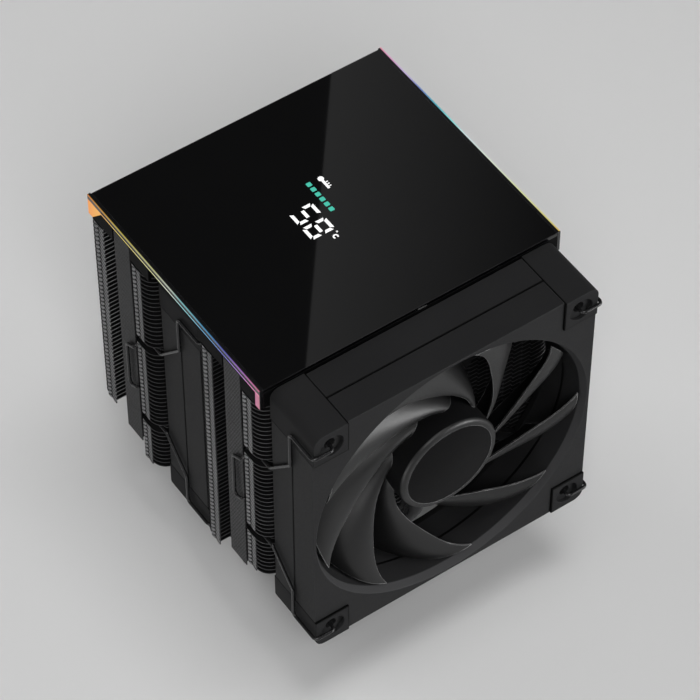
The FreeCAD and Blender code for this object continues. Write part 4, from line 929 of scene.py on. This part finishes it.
def addSegment(shape, letter, startY, width):
    # the outer edge is long and the ends slant; the middle bar is pointed at both ends
    up, across, turn = segments[letter]
    stroke, height, slant = display["stroke"], display["digitHeight"], display["stroke"] * display["slant"]
    half = ((width if turn in (-90, 90) else height / 2) - display["gap"]) / 2
    x = display["baseX"] + height * up + {0: stroke / 2, 1: -stroke / 2}.get(up, 0)
    y = startY - width * across + {0: -stroke / 2, 1: stroke / 2}.get(across, 0)
    if letter == "G":
        made = bmesh.ops.create_circle(shape, cap_ends=True, segments=6, radius=stroke)["verts"]
        for vertex in made:
            point = abs(vertex.co.y) < stroke * 0.1
            vertex.co.x = (1 if vertex.co.x > 0 else -1) * (half - (0 if point else slant))
            vertex.co.y = 0 if point else (1 if vertex.co.y > 0 else -1) * stroke / 2
    else:
        made = addSquare(shape, stroke / 2)
        for vertex in made:
            vertex.co.x = (1 if vertex.co.x > 0 else -1) * (half - (0 if vertex.co.y > 0 else slant))
    bmesh.ops.rotate(shape, verts=made, cent=(0, 0, 0), matrix=Matrix.Rotation(radians(turn), 3, "Z"))
    bmesh.ops.translate(shape, verts=made, vec=(x, y, 0))


def makeDigits():
    shape = bmesh.new()
    for lit, startY, width in digits:
        for letter in lit:
            addSegment(shape, letter, startY, width)
    return printOnPanel("display_digits", shape, digitWhite)


def addRingPart(shape, place, radius, width, start, sweep, steps):
    # a piece of a flat ring, swept from one short edge
    ends = [shape.verts.new((radius + width / 2 * side, 0, 0)) for side in (-1, 1)]
    edge = shape.edges.new(ends)
    bmesh.ops.rotate(shape, verts=ends, cent=(0, 0, 0), matrix=Matrix.Rotation(radians(start), 3, "Z"))
    before = set(shape.verts) - set(ends)
    bmesh.ops.spin(shape, geom=ends + [edge], cent=(0, 0, 0), axis=(0, 0, 1), angle=radians(sweep),
                   steps=steps, use_merge=sweep == 360)
    made = [v for v in shape.verts if v not in before]
    bmesh.ops.translate(shape, verts=made, vec=(*place, 0))


unitRings = [
    {"place": (-0.00095, -0.01015), "radius": 0.00026, "width": 0.00024, "start": 0, "sweep": 360,
     "steps": 20},
    {"place": (-0.00260, -0.01180), "radius": 0.00080, "width": 0.00058, "start": -48, "sweep": 276,
     "steps": 18},
]
thermometer = {"place": (0.0085, 0.0136), "bulb": 0.00115, "sides": 28, "mouth": 0.85, "stem": 0.0042,
               "ticks": 3, "tickPitch": 0.0011, "tick": (0.0004, 0.00022), "tickAway": 0.00105}


def makeUnit():
    # degree ring and letter of the temperature unit, and a small thermometer lying on its side
    shape = bmesh.new()
    for ring in unitRings:
        addRingPart(shape, **ring)
    bulb = thermometer["bulb"]
    made = bmesh.ops.create_circle(shape, cap_ends=True, segments=thermometer["sides"], radius=bulb)["verts"]
    lowest = -bulb * thermometer["mouth"]
    mouth = [edge for edge in shape.edges if all(v in made and v.co.y < lowest for v in edge.verts)]
    grown = vertsOf(bmesh.ops.extrude_edge_only(shape, edges=mouth))
    bmesh.ops.translate(shape, verts=grown, vec=(0, -thermometer["stem"], 0))
    for number in range(thermometer["ticks"]):
        tick = addSquare(shape, 1)
        tickY = -bulb - thermometer["tickPitch"] * (number + 1)
        bmesh.ops.scale(shape, verts=tick, vec=(*thermometer["tick"], 1))
        bmesh.ops.translate(shape, verts=tick, vec=(thermometer["tickAway"], tickY, 0))
        made += tick
    bmesh.ops.translate(shape, verts=made + grown, vec=(*thermometer["place"], 0))
    bmesh.ops.remove_doubles(shape, verts=shape.verts, dist=merging["seam"])
    return printOnPanel("display_unit_mark", shape, digitWhite)


levelBar = {"count": 6, "pitch": 0.0028, "side": 0.0019, "x": 0.0035, "firstY": -0.0003, "corner": 0.00035}


def makeLevelBar():
    shape = bmesh.new()
    for number in range(levelBar["count"]):
        place = (levelBar["x"], levelBar["firstY"] + levelBar["pitch"] * number, 0)
        bmesh.ops.translate(shape, verts=addSquare(shape, levelBar["side"] / 2), vec=place)
    bmesh.ops.bevel(shape, geom=shape.verts[:], offset=levelBar["corner"], segments=3, profile=0.5,
                    affect="VERTICES", material=-1)
    return printOnPanel("display_level_bar", shape, barTeal)


makeDigits()
makeUnit()
makeLevelBar()
print("display cover: panel, glow strips, digits and level bar")


def addStage(name, shape, material):
    mesh = bpy.data.meshes.new(name)
    shape.to_mesh(mesh)
    shape.free()
    mesh.materials.append(material)
    thing = addObject(name, mesh)
    return thing


sky = {"low": 0.24, "high": 0.070, "rise": (0.05, 0.60), "camera": 0.80, "tone": (0.8, 0.8, 0.8, 1)}
# the floor fades into the sky's tone between the two distances of its fade
ground = {"half": 9, "cloud": 1.5, "tones": ((0.70, 0.70, 0.70), (0.72, 0.72, 0.72)), "roughness": 0.9,
          "specular": 0.1, "thrownBack": (0.34, 0.34, 0.34, 1), "fade": (0.8, 3.5)}


def makeFloor():
    # pale where it is seen, darker in the light that it throws back
    shape = bmesh.new()
    addSquare(shape, ground["half"])
    material, tree, surface = startMaterial("paleFloor")
    place = objectPlace(tree)
    tone = mixColour(tree, noiseNode(tree, place, ground["cloud"]), *ground["tones"])
    setInputs(surface, {"Base Color": tone, "Roughness": ground["roughness"],
                        "Specular IOR Level": ground["specular"]})
    dim = addNode(tree, "BsdfDiffuse", Color=ground["thrownBack"])
    haze = addNode(tree, "Emission", Color=sky["tone"], Strength=sky["camera"])
    rays = addNode(tree, "LightPath").outputs
    seen = mathNode(tree, "MAXIMUM", rays["Is Camera Ray"], rays["Is Glossy Ray"])
    seen = mathNode(tree, "MAXIMUM", seen, rays["Is Transmission Ray"])
    reach = vectorNode(tree, "LENGTH", place)["Value"]
    far = rangeNode(tree, reach, *ground["fade"], smooth=True)
    near = mixShader(tree, seen, dim, surface)
    cove = mixShader(tree, multiply(tree, far, rays["Is Camera Ray"]), near, haze)
    link(tree, cove.outputs[0], tree.nodes["Material Output"].inputs[0])
    spare(addStage("paleFloor", shape, material))


softBox = {"edge": ((0.5614, 0.8551), (0.7699, 1.1201)), "height": 1.5, "width": 0.24, "reach": 0.9,
           "bright": 0.40, "dim": 0.0}


def makeSoftBox():
    # a long light over the back of the set: one crisp edge, and its light falls off away from it
    start, end = (Vector((*corner, softBox["height"])) for corner in softBox["edge"])
    run = (end - start).normalized()
    across = Vector((run.y, -run.x, 0))
    beyond, wide = run * softBox["reach"], across * softBox["width"]
    shape = bmesh.new()
    corners = (start - beyond, start - beyond + wide, end + beyond + wide, end + beyond)
    shape.faces.new([shape.verts.new(corner) for corner in corners])
    material, tree, surface = startMaterial("softBox")
    fromEdge = vectorNode(tree, "DOT_PRODUCT", objectPlace(tree), tuple(across))["Value"]
    near = start.dot(across)
    level = rangeNode(tree, fromEdge, near, near + softBox["width"], softBox["bright"], softBox["dim"])
    glow = addNode(tree, "Emission", Strength=level)
    link(tree, glow.outputs[0], tree.nodes["Material Output"].inputs[0])
    addStage("softBox", shape, material).visible_camera = False


def makeSky():
    world = bpy.data.worlds.new("studioSky")
    bpy.context.scene.world = world
    world.use_nodes = True
    tree = world.node_tree
    tree.nodes.clear()
    up = splitParts(tree, addNode(tree, "TexCoord").outputs["Generated"])["Z"]
    level = rangeNode(tree, up, *sky["rise"], sky["low"], sky["high"], smooth=True)
    mixed = addNode(tree, "Mix")
    mixed.data_type = "FLOAT"
    setInputs(mixed, {0: addNode(tree, "LightPath").outputs["Is Camera Ray"], 2: level, 3: sky["camera"]})
    glow = addNode(tree, "Background", Color=sky["tone"], Strength=mixed.outputs[0])
    link(tree, glow.outputs[0], addNode(tree, "OutputWorld").inputs[0])


makeFloor()
makeSoftBox()
makeSky()
